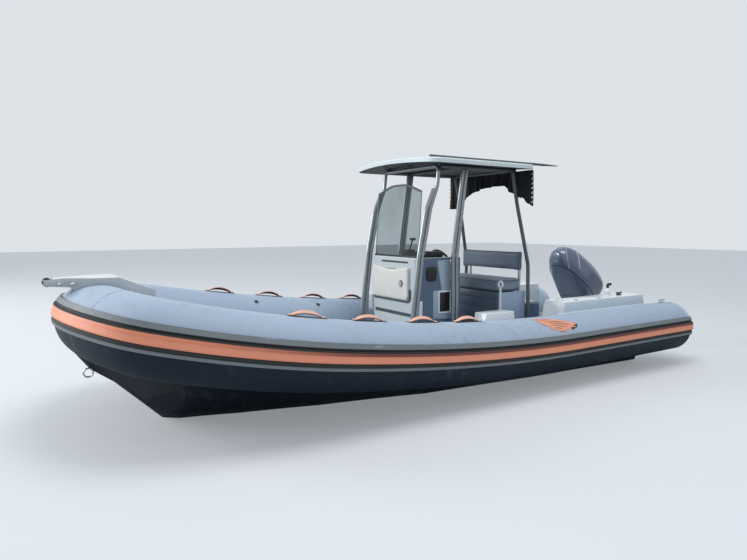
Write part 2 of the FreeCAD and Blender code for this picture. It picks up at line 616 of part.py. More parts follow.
# Console
def make_console():
    console = body("console")
    sketch = sketch_on(console, "console_side", "XZ_Plane")
    polygon(sketch, rectangle("sizes.console_rear", "sizes.console_front", "sizes.sole_level+sizes.seat_gap",
                              "sizes.console_top"))
    block = pad(console, sketch, "2*sizes.console_half", both=True)
    corners = round_edges(console, block, "sizes.console_corner",
                          lambda edge: runs_along(edge, Vector(0, 0, 1)))
    top = round_edges(console, corners, "sizes.console_brow",
                      lambda edge: edge.BoundBox.ZMin > size("console_top") - 1)
    doc.recompute()
    inner = "sizes.console_wall"
    hollow = sketch_on(console, "console_inside", "XZ_Plane")
    polygon(hollow, [(f"sizes.console_rear+{inner}", "sizes.sole_level-50"),
                     (f"sizes.console_front-{inner}", "sizes.sole_level-50"),
                     (f"sizes.console_front-{inner}", f"sizes.console_top-{inner}"),
                     (f"sizes.dash_top+{inner}*0.6", f"sizes.console_top-{inner}"),
                     (f"sizes.dash_top-sizes.dash_run+{inner}", f"sizes.dash_foot-{inner}"),
                     (f"sizes.console_rear+{inner}", f"sizes.dash_foot-{inner}")])
    pocket(console, hollow, f"2*(sizes.console_half-{inner})", both=True)
    recess = sketch_on(console, "dash_recess", "XZ_Plane")
    polygon(recess, [("sizes.console_rear-50", "sizes.console_top+50"),
                     ("sizes.dash_top", "sizes.console_top+50"), ("sizes.dash_top", "sizes.console_top"),
                     ("sizes.dash_top-sizes.dash_run", "sizes.dash_foot"),
                     ("sizes.console_rear-50", "sizes.dash_foot")])
    pocket(console, recess, f"2*(sizes.console_half-{inner})", both=True)
    opening = sketch_on(console, "door_opening", "YZ_Plane", "sizes.console_front-100")
    polygon(opening, rectangle("sizes.door_right+sizes.door_rebate", "sizes.door_left-sizes.door_rebate",
                               "sizes.door_low+sizes.door_rebate", "sizes.door_high-sizes.door_rebate"))
    pocket(console, opening, "200", reverse=True)
    keep(console, "console")

    door = body("console_door")
    leaf = sketch_on(door, "door_outline", "YZ_Plane", "sizes.console_front+sizes.door_seat")
    polygon(leaf, rectangle("sizes.door_right", "sizes.door_left", "sizes.door_low", "sizes.door_high"))
    plate = pad(door, leaf, "sizes.door_thickness")
    rounded = round_edges(door, plate, "sizes.door_corner", lambda edge: runs_along(edge, AHEAD))
    front = size("console_front") + size("door_seat") + size("door_thickness")
    round_edges(door, rounded, "sizes.door_edge", lambda edge: edge.BoundBox.XMin > front - 1)
    doc.recompute()
    back = "sizes.console_front+sizes.door_seat"
    for name, level in (("low", "sizes.door_low+sizes.hinge_inset"),
                        ("high", "sizes.door_high-sizes.hinge_inset-sizes.hinge_length")):
        barrel = sketch_on(door, f"hinge_{name}", "XY_Plane", level)
        across_y = "sizes.door_right-sizes.hinge_radius-sizes.hinge_space"
        circle(barrel, f"{back}+sizes.hinge_radius", across_y, "sizes.hinge_radius")
        pad(door, barrel, "sizes.hinge_length")
        doc.recompute()
        leaf = sketch_on(door, f"hinge_leaf_{name}", "XY_Plane", level)
        polygon(leaf, rectangle(f"{back}+2", f"{back}+6", across_y, "sizes.door_right+20"))
        pad(door, leaf, "sizes.hinge_length")
        doc.recompute()
    keep(door, "console_door")

    latch = bind(doc.addObject("Part::Cylinder", "door_latch"), Radius="sizes.latch_radius",
                 Height="sizes.latch_height",
                 Placement__Base__x=f"{back}+sizes.door_thickness+sizes.seat_gap",
                 Placement__Base__y="sizes.door_left-sizes.latch_inset",
                 Placement__Base__z="(sizes.door_low+sizes.door_high)/2")
    latch.Placement = Placement(Vector(), Rotation(Vector(0, 1, 0), 90))
    keep(latch, "door_latch")


def make_console_trim():
    face = "-sizes.console_half-sizes.seat_gap"
    vent = body("console_vent")
    sketch = sketch_on(vent, "vent_outline", "XZ_Plane", face)
    polygon(sketch, rectangle("sizes.vent_rear", "sizes.vent_front", "sizes.vent_low", "sizes.vent_high"))
    plate = pad(vent, sketch, "sizes.frame_proud*1.5", reverse=True)
    plate.Reversed = True
    round_edges(vent, plate, "sizes.vent_corner", lambda edge: runs_along(edge, TO_PORT))
    keep(vent, "console_vent")
    frame = body("side_hatch_frame")
    sketch = sketch_on(frame, "frame_outline", "XZ_Plane", face)
    polygon(sketch, rectangle("sizes.side_hatch_rear", "sizes.side_hatch_front", "sizes.side_hatch_low",
                              "sizes.side_hatch_high"))
    polygon(sketch, rectangle("sizes.side_hatch_rear+sizes.frame_width",
                              "sizes.side_hatch_front-sizes.frame_width",
                              "sizes.side_hatch_low+sizes.frame_width",
                              "sizes.side_hatch_high-sizes.frame_width"))
    pad(frame, sketch, "sizes.frame_proud", reverse=True)
    keep(frame, "side_hatch_frame")
    panel = body("side_hatch_panel")
    sketch = sketch_on(panel, "panel_outline", "XZ_Plane", face)
    inset = "(sizes.frame_width+sizes.seat_gap)"
    polygon(sketch, rectangle(f"sizes.side_hatch_rear+{inset}", f"sizes.side_hatch_front-{inset}",
                              f"sizes.side_hatch_low+{inset}", f"sizes.side_hatch_high-{inset}"))
    pad(panel, sketch, "sizes.frame_proud*0.5", reverse=True)
    keep(panel, "side_hatch_panel")
    # A grab rail slants down the port side of the console.
    near = size("console_half") + size("seat_gap")
    out = size("console_half") + size("rail_stand")
    head = Vector(size("rail_ahead"), near, size("rail_head"))
    foot = Vector(size("rail_behind"), near, size("rail_foot"))
    away = Vector(0, out - near, 0)
    rail = tube_along([head, head + away, foot + away, foot], size("rail_radius"), size("rail_bend"))
    keep(feature("console_rail", rail), "console_rail")
    # A rounded block on each side of the console steadies the foot of the front leg.
    reach = size("leg_side") - size("leg_radius") - size("seat_gap") - near
    block = Part.makeBox(size("bracket_front") - size("bracket_rear"), reach,
                         size("bracket_high") - size("bracket_low"),
                         Vector(size("bracket_rear"), near, size("bracket_low")))
    outer = [edge for edge in block.Edges if edge.BoundBox.YMin > near + reach - 1]
    block = block.makeFillet(size("bracket_round"), outer)
    keep(feature("leg_brackets", both_sides(block)), "leg_brackets")


def dash_point(share):
    """A point on the sloping dash, from its top to its foot."""
    return Vector(size("dash_top") - size("dash_run") * share, 0,
                  size("console_top") + (size("dash_foot") - size("console_top")) * share)


def dash_normal():
    rise = size("console_top") - size("dash_foot")
    return unit(Vector(-rise, 0, size("dash_run")))


def make_helm():
    slope = dash_normal()
    lean = math.degrees(math.atan2(size("dash_run"), size("console_top") - size("dash_foot")))
    depth, width, height = size("panel_depth"), size("panel_width"), size("panel_height")
    panel = Part.makeBox(depth, width, height, Vector(0, -width / 2, -height / 2))
    panel.Placement = Placement(dash_point(0.27) + slope * size("seat_gap"), Rotation(TO_PORT, lean))
    panel = panel.translated(slope * depth)
    keep(feature("instrument_panel", panel), "instrument_panel")

    tilt = math.radians(size("wheel_tilt"))
    wheel_axis = Vector(-math.cos(tilt), 0, math.sin(tilt))
    centre = Vector(size("wheel_x"), 0, size("wheel_z"))
    back = centre - wheel_axis * size("hub_depth")
    boss = Part.makeCylinder(size("column_radius"), 300, back - wheel_axis * size("seat_gap"),
                             wheel_axis * -1)
    console_shape = doc.getObject("console").Shape
    below_dash = Part.makeBox(600, 900, 900, dash_point(1) + Vector(0, -450, -100))
    below_dash.rotate(dash_point(1), Vector(0, 1, 0), lean)
    boss = boss.cut(below_dash).cut(console_shape)
    boss = max(boss.Solids, key=lambda solid: solid.Volume)
    keep(feature("steering_boss", boss), "steering_boss")

    rim = Part.makeTorus(size("wheel_radius") - size("wheel_rim"), size("wheel_rim"))
    hub = Part.makeCylinder(size("wheel_hub"), size("hub_depth") + 14, Vector(0, 0, -size("hub_depth")))
    spokes = []
    for turn in (60, 180, 300):
        out = Rotation(Vector(0, 0, 1), turn).multVec(AHEAD)
        spokes.append(Part.makeCylinder(size("spoke_radius"), size("wheel_radius") - size("wheel_rim"),
                                        Vector(), out))
    wheel = fused([rim, hub] + spokes)
    item = feature("steering_wheel", wheel)
    item.Placement = Placement(centre, Rotation(Vector(0, 0, 1), wheel_axis))
    keep(item, "steering_wheel")

    base = Vector(size("dash_top") + size("throttle_ahead"), -size("throttle_side"),
                  size("console_top") + size("seat_gap"))
    block = Part.makeBox(110, 70, size("throttle_height"), base + Vector(-55, -35, 0))
    root = base + Vector(0, 0, size("throttle_height") - 20)
    lever = Part.makeCylinder(9, size("throttle_lever"), root, Vector(-0.35, 0, 1))
    knob = Part.makeCylinder(16, 80, root + Vector(-50, -40, size("throttle_lever") * 0.94), TO_PORT)
    keep(feature("throttle", fused([block, lever, knob])), "throttle")


def make_windscreen():
    screen = body("windscreen")
    sketch = sketch_on(screen, "screen_outline", "YZ_Plane")
    polygon(sketch, [("-sizes.screen_half", "0"), ("sizes.screen_half", "0"),
                     ("sizes.screen_half", "sizes.screen_edge-sizes.console_top"),
                     ("sizes.screen_ridge", "sizes.screen_crown-sizes.console_top"),
                     ("-sizes.screen_ridge", "sizes.screen_crown-sizes.console_top"),
                     ("-sizes.screen_half", "sizes.screen_edge-sizes.console_top")])
    pad(screen, sketch, "sizes.screen_thickness")
    lean = math.degrees(math.atan2(size("screen_lean"), size("screen_crown") - size("console_top")))
    screen.Placement = Placement(Vector(0, 0, 0), Rotation(Vector(0, 1, 0), -lean))
    bind(screen, Placement__Base__x="sizes.screen_foot-sizes.console_brow",
         Placement__Base__z="sizes.console_top+sizes.seat_gap")
    keep(screen, "windscreen")


# Hard top legs: a row is a leg's name, its foot plate's radius, its head's place and the corners of its
# main tube, as places, distances outside the rails and heights, the foot's height left open
LEGS = [
    ("front", "foot_radius", 193,
     [(498, 0, None), (478, 0, 700), (398, 0, 1400), (301, 0, 1880), (214, 0, 2110)]),
    ("middle", "foot_radius", -190, [(-75, 0, None), (-62, 0, 1380), (-105, 0, 1700)]),
    ("aft", "aft_foot_radius", -880, [(-1130, 62, None), (-1120, 40, 1250), (-960, 0, 1950)]),
]
# Second tubes beside the main ones, with the same columns for their corners
SECOND_TUBES = {
    "front": [(548, 0, None), (528, 0, 700), (444, 0, 1400), (355, 0, 1860), (258, 0, 2075)],
    "middle": [(-25, 0, None), (-12, 0, 1380), (-55, 0, 1700), (-140, 0, 2300)],
}


def leg_corners(corners):
    """The corner points of a leg's tube, with its foot inside the foot plate."""
    inside_plate = size("sole_level") + size("foot_thickness") / 2
    return [Vector(ahead, size("leg_side") + outside, inside_plate if height is None else height)
            for ahead, outside, height in corners]


def roof_radius():
    half, rise = size("roof_half"), size("roof_crown")
    return (half ** 2 + rise ** 2) / (2 * rise)


def roof_underside(side):
    """The height of the hard top's underside at one side distance."""
    centre = size("roof_low") + size("roof_crown") - roof_radius()
    return centre + math.sqrt(roof_radius() ** 2 - side ** 2)


def rail_level():
    """The top rails' height, which lets them lie under the crowned roof."""
    return roof_underside(size("leg_side")) - size("leg_radius") - size("seat_gap")


def below_rails(shape):
    """Trim a leg's head flat, just under the top rails."""
    reach = size("half_beam")
    corner = Vector(-reach, -reach, rail_level() - size("leg_radius") - size("seat_gap"))
    return shape.cut(Part.makeBox(2 * reach, 2 * reach, reach, corner))


def make_legs():
    radius, bend = size("leg_radius"), size("leg_bend")
    for name, foot_size, head_place, corners in LEGS:
        main = leg_corners(corners)
        head = Vector(head_place, size("leg_side"), rail_level())
        if name == "front":
            # The front leg turns inwards at the top and is half of a hoop.
            shapes = [tube_along(main + [head, Vector(head.x, 0, head.z)], radius, bend, size("hoop_bend"))]
        else:
            shapes = [below_rails(tube_along(main + [head], radius, bend))]
        foot = Vector(main[0].x, main[0].y, size("sole_level") + size("seat_gap"))
        if name in SECOND_TUBES:
            second = leg_corners(SECOND_TUBES[name])
            shapes.append(below_rails(tube_along(second, radius, bend)))
            for near, far in list(zip(main, second))[1:3]:
                shapes.append(Part.makeCylinder(size("rung_half"), (far - near).Length, near, far - near))
            foot.x = (main[0].x + second[0].x) / 2
        shapes.append(Part.makeCylinder(size(foot_size), size("foot_thickness"), foot))
        leg = fused(shapes)
        keep(feature(f"{name}_leg_port", leg), f"{name}_leg_port")
        keep(feature(f"{name}_leg_starboard", across(leg)), f"{name}_leg_starboard")


def roof_slab(low, high, inset):
    """The hard top's plan with its bowed front edge, between two heights."""
    rear, front = size("roof_rear") + inset, size("roof_front") - inset
    half = size("roof_half") - inset
    corners = [Vector(front, -half, low), Vector(rear, -half, low), Vector(rear, half, low),
               Vector(front, half, low)]
    edges = [Part.LineSegment(a, b).toShape() for a, b in zip(corners, corners[1:])]
    edges.append(Part.Arc(corners[3], Vector(front + size("roof_bow"), 0, low), corners[0]).toShape())
    return Part.Face(Part.Wire(edges)).extrude(Vector(0, 0, high - low))


def crown_block(drop):
    """A long block whose top is the hard top's crown, lowered by a distance."""
    length = size("roof_front") - size("roof_rear") + 2 * size("roof_bow")
    centre = size("roof_low") + size("roof_thickness") + size("roof_crown") - roof_radius()
    start = Vector(size("roof_rear") - size("roof_bow") / 2, 0, centre)
    return Part.makeCylinder(roof_radius() - drop, length, start, AHEAD)


def make_roof():
    low = size("roof_low")
    slab = roof_slab(low, low + size("roof_thickness") + size("roof_crown") + 1, 0)
    upright = [edge for edge in slab.Edges if runs_along(edge, Vector(0, 0, 1))]
    slab = slab.makeFillet(size("roof_corner"), upright)
    roof = slab.common(crown_block(0)).cut(crown_block(size("roof_thickness")))
    top = max(roof.Faces, key=lambda face: face.CenterOfMass.z)
    roof = roof.makeFillet(size("roof_edge"), top.OuterWire.Edges)
    keep(feature("roof", roof), "roof")


def make_top():
    level = rail_level()
    radius = size("leg_radius")
    front_head, middle_head, aft_head = [head_place for name, foot_size, head_place, corners in LEGS]
    rail_front = front_head - radius - size("seat_gap")
    rails = []
    for side in (size("leg_side"), -size("leg_side")):
        rails.append(Part.makeCylinder(radius, rail_front - size("rail_rear"),
                                       Vector(size("rail_rear"), side, level), AHEAD))
    # The cross bars are thinner than the rails and end inside them.
    for ahead in (aft_head, middle_head + 25):
        rails.append(Part.makeCylinder(size("bar_radius"), 2 * size("leg_side"),
                                       Vector(ahead, -size("leg_side"), level), TO_PORT))
    keep(feature("top_rails", fused(rails)), "top_rails")

    surface = roof_underside(size("pole_side")) + size("roof_thickness")
    lift = surface + size("pole_radius") + size("seat_gap")
    shaft = Part.makeCylinder(size("pole_radius"), 1650, Vector(-1250, size("pole_side"), lift), AHEAD)
    tip = Part.makeCone(5, size("pole_radius"), 250, Vector(-1500, size("pole_side"), lift), AHEAD)
    keep(feature("roof_pole", fused([shaft, tip])), "roof_pole")

    top, side = size("roof_low"), size("shade_side")
    half = [(0, top - 160), (250, top - 150), (480, top - 300), (650, top - 400), (side, top - 400),
            (side, top + size("roof_crown"))]
    ring = half + [(-across_y, up) for across_y, up in reversed(half[1:])]
    points = [Vector(size("roof_rear") + 2, across_y, up) for across_y, up in ring]
    shade = Part.Face(Part.makePolygon(points + points[:1])).extrude(Vector(size("shade_thickness"), 0, 0))
    # The canvas lies under the roof and folds round the legs and the rails.
    shade = shade.common(crown_block(size("roof_thickness") + size("seat_gap")))
    clear = size("leg_radius") + size("shade_gap")
    head = Vector(aft_head, size("leg_side"), level)
    leg = tube_along(leg_corners(LEGS[2][-1]) + [head], clear, size("leg_bend"))
    shade = shade.cut(leg).cut(across(leg))
    shade = max(shade.Solids, key=lambda solid: solid.Volume)
    keep(feature("sun_shade", shade), "sun_shade")


# Helm seat
def make_seat():
    base = body("seat_base")
    sketch = sketch_on(base, "seat_base_outline", "XY_Plane", "sizes.sole_level+sizes.seat_gap")
    polygon(sketch, rectangle("sizes.seat_rear-30", "sizes.seat_front",
                              "-sizes.seat_half", "sizes.seat_half"))
    block = pad(base, sketch, "sizes.seat_base_top-sizes.sole_level-sizes.seat_gap")
    rounded = round_edges(base, block, "24", lambda edge: runs_along(edge, Vector(0, 0, 1)))
    doc.recompute()
    lines = sketch_on(base, "seat_base_lines", "XZ_Plane")
    for share in (0.14, 0.32, 0.5, 0.68, 0.86):
        level = f"sizes.sole_level+(sizes.seat_base_top-sizes.sole_level)*{share}"
        polygon(lines, rectangle("sizes.seat_front-10", "sizes.seat_front+20", f"{level}-5", f"{level}+5"))
    pocket(base, lines, "2*(sizes.seat_half-50)", both=True)
    keep(base, "seat_base")

    cushion = body("seat_cushion")
    sketch = sketch_on(cushion, "cushion_outline", "XY_Plane", "sizes.seat_base_top+sizes.seat_gap")
    polygon(sketch, rectangle("sizes.seat_rear+40", "sizes.seat_front+12", "-sizes.seat_half+5",
                              "sizes.seat_half-5"))
    block = pad(cushion, sketch, "sizes.cushion_top-sizes.seat_base_top")
    rounded = round_edges(cushion, block, "sizes.cushion_corner",
                          lambda edge: runs_along(edge, Vector(0, 0, 1)))
    round_edges(cushion, rounded, "sizes.cushion_edge",
                lambda edge: edge.CenterOfMass.z > size("cushion_top") - 1)
    keep(cushion, "seat_cushion")

    back = body("seat_backrest")
    sketch = sketch_on(back, "backrest_outline", "YZ_Plane", "sizes.seat_rear+20")
    polygon(sketch, rectangle("-sizes.seat_half+5", "sizes.seat_half-5", "sizes.backrest_low",
                              "sizes.backrest_high"))
    block = pad(back, sketch, "sizes.backrest_thickness")
    rounded = round_edges(back, block, "sizes.cushion_corner", lambda edge: runs_along(edge, AHEAD))
    round_edges(back, rounded, "sizes.backrest_edge",
                lambda edge: not runs_along(edge, AHEAD) and edge.Length > 60)
    keep(back, "seat_backrest")

    radius = size("post_radius")
    behind = size("seat_rear") + 20 - radius - size("seat_gap")
    foot = size("seat_base_top") + size("seat_gap")
    posts = []
    for side in (size("post_side"), -size("post_side")):
        posts.append(Part.makeCylinder(radius, size("backrest_high") - 40 - foot, Vector(behind, side, foot)))
    bar = Part.makeCylinder(radius, 2 * size("post_side"),
                            Vector(behind, -size("post_side"), size("backrest_low") + 60), TO_PORT)
    keep(feature("seat_frame", fused(posts + [bar])), "seat_frame")

    deck = size("sole_level") + size("seat_gap")
    foot = Vector(size("seat_front") + 35, size("seat_half") + size("ring_post_side"), deck)
    post = Part.makeCylinder(12, size("ring_post_height"), foot)
    ring_centre = foot + Vector(0, 0, size("ring_post_height") + size("ring_radius") + 8)
    ring = Part.makeTorus(size("ring_radius"), 10, ring_centre, AHEAD)
    flare = Part.makeCone(34, 14, 120, foot)
    keep(feature("ring_post", fused([post, ring, flare])), "ring_post")

    length, half, height = size("aft_box_length"), size("aft_box_half"), size("aft_box_height")
    corner = Vector(size("seat_rear") - size("aft_box_space") - length, -half, deck)
    box = Part.makeBox(length, 2 * half, height, corner)
    upper = [edge for edge in box.Edges if edge.CenterOfMass.z > deck + height - 1]
    box = box.makeFillet(size("aft_box_edge"), upper)
    keep(feature("aft_box", box), "aft_box")


# Side boxes and what stands on them, steps and stern cleats
def make_sides(collar):
    low = size("sole_level") + size("seat_gap")
    tube_top = size("collar_height") + size("tube_radius")
    front, rear = size("side_box_front"), size("side_box_rear")
    top = tube_top + size("side_box_rise")
    inside = size("transom_face") + size("transom_wall") + size("seat_gap") + 1
    over = size("collar_height") + 40
    outer = TUBE_SIDE - size("side_box_inset")
    profile = [(front, low), (front - size("side_box_rake"), top), (rear + 40, top), (rear, top - 130),
               (rear, over), (inside, over), (inside, low)]
    box = side_slab(profile, outer - size("side_box_width"), outer).cut(collar)
    box = max(box.Solids, key=lambda solid: solid.Volume)
    keep(feature("stern_box_port", box), "stern_box_port")
    keep(feature("stern_box_starboard", across(box)), "stern_box_starboard")

    seat = Vector(size("box_vent"), outer - size("side_box_width") / 2, top + size("seat_gap"))
    stem = Part.makeCylinder(size("vent_radius") * 0.6, size("vent_height") * 0.55, seat)
    base = Part.makeCylinder(size("vent_radius"), size("vent_height") * 0.12, seat)
    crown = Part.makeCone(size("vent_radius"), size("vent_radius") * 0.7, size("vent_height") * 0.3,
                          seat + Vector(0, 0, size("vent_height") * 0.5))
    knob = Part.makeCylinder(size("vent_radius") * 0.25, size("vent_height") * 0.2,
                             seat + Vector(0, 0, size("vent_height") * 0.8))
    keep(feature("box_vent", fused([base, stem, crown, knob])), "box_vent")
    seat = Vector(size("box_cleat"), outer - size("side_box_width") / 2 + 20, top + size("seat_gap"))
    keep(feature("box_cleat", cleat(seat, 110, 26)), "box_cleat")

    outer = TUBE_SIDE - size("step_inset")
    step_low, step_top = size("collar_height") + size("step_foot"), tube_top + size("step_rise")
    rear, front = size("step_rear"), size("step_front")
    profile = [(rear, step_low), (rear + 40, step_top), (front - 50, step_top), (front, step_low)]
    step = side_slab(profile, outer - size("step_width"), outer).cut(collar)
    step = max(step.Solids, key=lambda solid: solid.Volume)
    keep(feature("side_steps", both_sides(step)), "side_steps")

    horn = cleat(Vector(size("stern_cleat"), TUBE_SIDE, tube_top + size("seat_gap")), 150, 38)
    keep(feature("stern_cleats", both_sides(horn)), "stern_cleats")


# Grab handles: rows are the middle of each handle along the boat
HANDLES = [2080, 1480, 890, 340]
HANDLE_ARCH = [(-165, 0), (-165, 7), (-120, 8), (-90, 40), (90, 40), (120, 8), (165, 7), (165, 0), (112, 0),
               (82, 31), (-82, 31), (-112, 0)]


def make_handles():
    foot = max(ahead for ahead, up in HANDLE_ARCH)
    clear = size("seat_gap") + foot ** 2 / 2 / (size("sheer_radius") - size("tube_radius"))
    shapes = []
    for middle in HANDLES:
        centre, tangent = collar_at(middle)
        arch = side_slab(HANDLE_ARCH, -size("handle_half"), size("handle_half"))
        side = unit(Vector(0, 0, 1).cross(tangent))
        above = tangent.cross(side)
        arch.Placement = Placement(centre + above * (size("tube_radius") + clear),
                                   Rotation(tangent, side, above, "XZY"))
        shapes.append(arch)
    keep(feature("handles_port", Part.makeCompound(shapes)), "handles_port")
    mirrored = [across(shape) for shape in shapes]
    keep(feature("handles_starboard", Part.makeCompound(mirrored)), "handles_starboard")


# Outboard engine, drawn upright about its tilt pivot and then leaned
def leaned(shape):
    shape.Placement = Placement(Vector(size("pivot_x"), 0, size("pivot_z")),
                                Rotation(Vector(0, 1, 0), size("engine_tilt")))
    return shape


def make_outboard():
    pivot = Vector(size("pivot_x"), 0, size("pivot_z"))
    face = size("transom_face") - size("seat_gap")
    inner, outer = size("clamp_side"), size("clamp_side") + size("clamp_wall")
    cheek = side_slab([(face, pivot.z - 260), (face, pivot.z - 90), (pivot.x + 28, pivot.z + 38),
                       (pivot.x - 38, pivot.z + 30), (pivot.x - 38, pivot.z - 40),
                       (face - 55, pivot.z - 250)], inner, outer)
    pin = Part.makeCylinder(size("tilt_pin"), 2 * outer, pivot - Vector(0, outer, 0), TO_PORT)
    plate = Part.makeBox(12, 2 * outer, 150, Vector(face - 12, -outer, pivot.z - 250))
    keep(feature("clamp_bracket", fused([cheek, across(cheek), pin, plate])), "clamp_bracket")

    back = -size("swivel_back")
    hub = Part.makeCylinder(size("hub_radius"), 2 * size("hub_half"), Vector(0, -size("hub_half"), 0),
                            TO_PORT)
    swivel = Part.makeCylinder(size("swivel_radius"), 480, Vector(back, 0, -420))
    arm = Part.makeBox(-back, 90, 90, Vector(back, -45, -45))
    bracket = fused([hub, swivel, arm])
    pin_bore = Part.makeCylinder(size("tilt_pin") + size("pin_gap"), 300, Vector(0, -150, 0), TO_PORT)
    shaft_bore = Part.makeCylinder(size("swivel_shaft") + size("pin_gap"), 700, Vector(back, 0, -500))
    bracket = bracket.cut(pin_bore).cut(shaft_bore)
    keep(feature("swivel_bracket", leaned(bracket)), "swivel_bracket")

    shaft = Part.makeCylinder(size("swivel_shaft"), 540, Vector(back, 0, -450))
    upper = Part.makeBox(200, 110, size("cowl_low") - size("seat_gap") - 66, Vector(back - 160, -55, 66))
    lower = Part.makeBox(140, 100, 34, Vector(back - 110, -50, -size("leg_foot")))
    leg = Part.makeBox(170, size("leg_width"), size("leg_foot") + 102,
                       Vector(back - 225, -size("leg_width") / 2, -size("leg_foot")))
    leg = leg.makeFillet(40, [edge for edge in leg.Edges if runs_along(edge, Vector(0, 0, 1))])
    middle = fused([shaft, upper, lower, leg])
    keep(feature("midsection", leaned(middle)), "midsection")

    drop, shaft_drop = size("plate_drop"), size("propeller_drop")
    top = -size("leg_foot") - size("seat_gap")
    blade = side_slab([(back - 215, top), (back - 65, top), (back - 50, -shaft_drop),
                       (back - 110, -size("skeg_drop")), (back - 230, -size("skeg_drop")),
                       (back - 290, -shaft_drop - 50), (back - 300, -shaft_drop)], -26, 26)
    half = size("plate_half")
    plate_plan = [(back + 20, half / 2), (back - 60, half), (back - 420, half), (back - 450, half * 2 / 3)]
    plate_plan = plate_plan + [(ahead, -side) for ahead, side in reversed(plate_plan)]
    plate = plan_slab(plate_plan, -drop, -drop + 10)
    pod_front = back - 30
    pod = Part.makeCylinder(size("pod_radius"), size("pod_length"),
                            Vector(pod_front - size("pod_length"), 0, -shaft_drop), AHEAD)
    nose = Part.makeCone(size("pod_radius"), 14, 120, Vector(pod_front, 0, -shaft_drop), AHEAD)
    shaft = Part.makeCylinder(size("propeller_shaft"), 170, Vector(back - 500, 0, -shaft_drop), AHEAD)
    keep(feature("gearcase", leaned(fused([blade, plate, pod, nose, shaft]))), "gearcase")

    place = Vector(back - size("propeller_place"), 0, -shaft_drop)
    length = size("propeller_hub_length")
    hub_end = place - AHEAD * (length / 2)
    hub = Part.makeCylinder(size("propeller_hub"), length, hub_end, AHEAD)
    bore = Part.makeCylinder(size("propeller_shaft") + size("pin_gap"), length, hub_end, AHEAD)
    blades = []
    for turn in (0, 120, 240):
        blade = propeller_blade()
        blade.rotate(Vector(), AHEAD, turn)
        blade.translate(place)
        blades.append(blade)
    keep(feature("propeller", leaned(fused([hub] + blades).cut(bore))), "propeller")

    sections = [rounded_plan(*row) for row in COWL]
    keep(feature("cowl", leaned(Part.makeLoft(sections, True, False))), "cowl")


# Propeller blade sections: a row is a share of the tip's radius, a chord, a thickness and a skew aft
BLADE = [(0.2, 74, 15, 0), (0.45, 128, 11, -6), (0.75, 146, 8, -14), (0.98, 78, 4, -22)]


def propeller_blade():
    """A twisted blade along Z, lofted through lens-shaped sections set at the pitch."""
    sections = []
    for share, chord, thickness, skew in BLADE:
        reach = size("propeller_radius") * share
        pitch_angle = math.atan(size("propeller_pitch") / (math.tau * reach))
        along = Vector(math.sin(pitch_angle), math.cos(pitch_angle), 0)
        face = Vector(math.cos(pitch_angle), -math.sin(pitch_angle), 0)
        middle = Vector(skew, 0, reach)
        edge, other = middle - along * (chord / 2), middle + along * (chord / 2)
        back = Part.Arc(edge, middle + face * (thickness / 2), other).toShape()
        front = Part.Arc(other, middle - face * (thickness / 2), edge).toShape()
        sections.append(Part.Wire([back, front]))
    return Part.makeLoft(sections, True, False)


# Cowl sections above the tilt pivot: a row is a height, the rear, the front, the half width and the
# corners' radius
COWL = [
    ("cowl_low", -440, 40, 190, 120), (240, -495, 62, 235, 150), (400, -455, 82, 250, 165),
    (560, -385, 106, 245, 170), (700, -305, 120, 225, 165), (820, -235, 112, 190, 150),
    (900, -165, 85, 140, 110), (945, -100, 50, 80, 66), (958, -60, 15, 40, 34),
]


def rounded_plan(height, rear, front, half, corner):
    """One section of the cowl: straight sides joined by quarter circles."""
    level = size(height) if isinstance(height, str) else height
    edges = []
    turns = [(front, half, -1, -1), (rear, half, 1, -1), (rear, -half, 1, 1), (front, -half, -1, 1)]
    ends = []
    for ahead, side, inward_x, inward_y in turns:
        across_end = Vector(ahead + inward_x * corner, side, level)
        along_end = Vector(ahead, side + inward_y * corner, level)
        bulge = corner * (1 - math.sqrt(0.5))
        middle = Vector(ahead + inward_x * bulge, side + inward_y * bulge, level)
        first, last = (along_end, across_end) if inward_x * inward_y > 0 else (across_end, along_end)
        ends.append((first, middle, last))
    for k, (first, middle, last) in enumerate(ends):
        edges.append(Part.Arc(first, middle, last).toShape())
        edges.append(Part.LineSegment(last, ends[(k + 1) % 4][0]).toShape())
    return Part.Wire(edges)


doc.recompute()
make_collar()
make_strake()
COLLAR = make_hull()
doc.recompute()
make_bow(COLLAR)
make_towing_eye(doc.getObject("hull").Shape)
make_locker_lid()
make_console()
make_console_trim()
doc.recompute()
make_helm()
make_windscreen()
make_legs()
make_roof()
make_top()
make_seat()
make_sides(COLLAR)
make_handles()
make_outboard()

broken = [item.Label for item in doc.Objects if {"Invalid", "Error"} & set(item.State)]
for item in PARTS:
    if item.Shape.isNull() or not item.Shape.isValid():
        broken.append(item.Label)
if broken:
    raise SystemExit("These pieces failed: " + ", ".join(broken))
for item in PARTS:
    item.Shape.exportStep(f"parts/{item.Label}.step")
    print(item.Label, len(item.Shape.Solids), round(item.Shape.Volume / 1e6, 2), item.Shape.BoundBox)
print(len(PARTS), "sub-parts")
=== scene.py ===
# %% [markdown]
# The boat's construction comes from its CAD model, with every piece already at its real size and
# place, in metres. This lesson dresses it: finishes for each surface, and new meshes for what is
# soft, sewn, moulded or too fine for a solid model. X points to the bow, Y to port and Z up, and
# the origin is on the centreline at the waterline.

# %% Load the frame
import json
import math

import bmesh
import bpy
from mathutils import Matrix, Vector


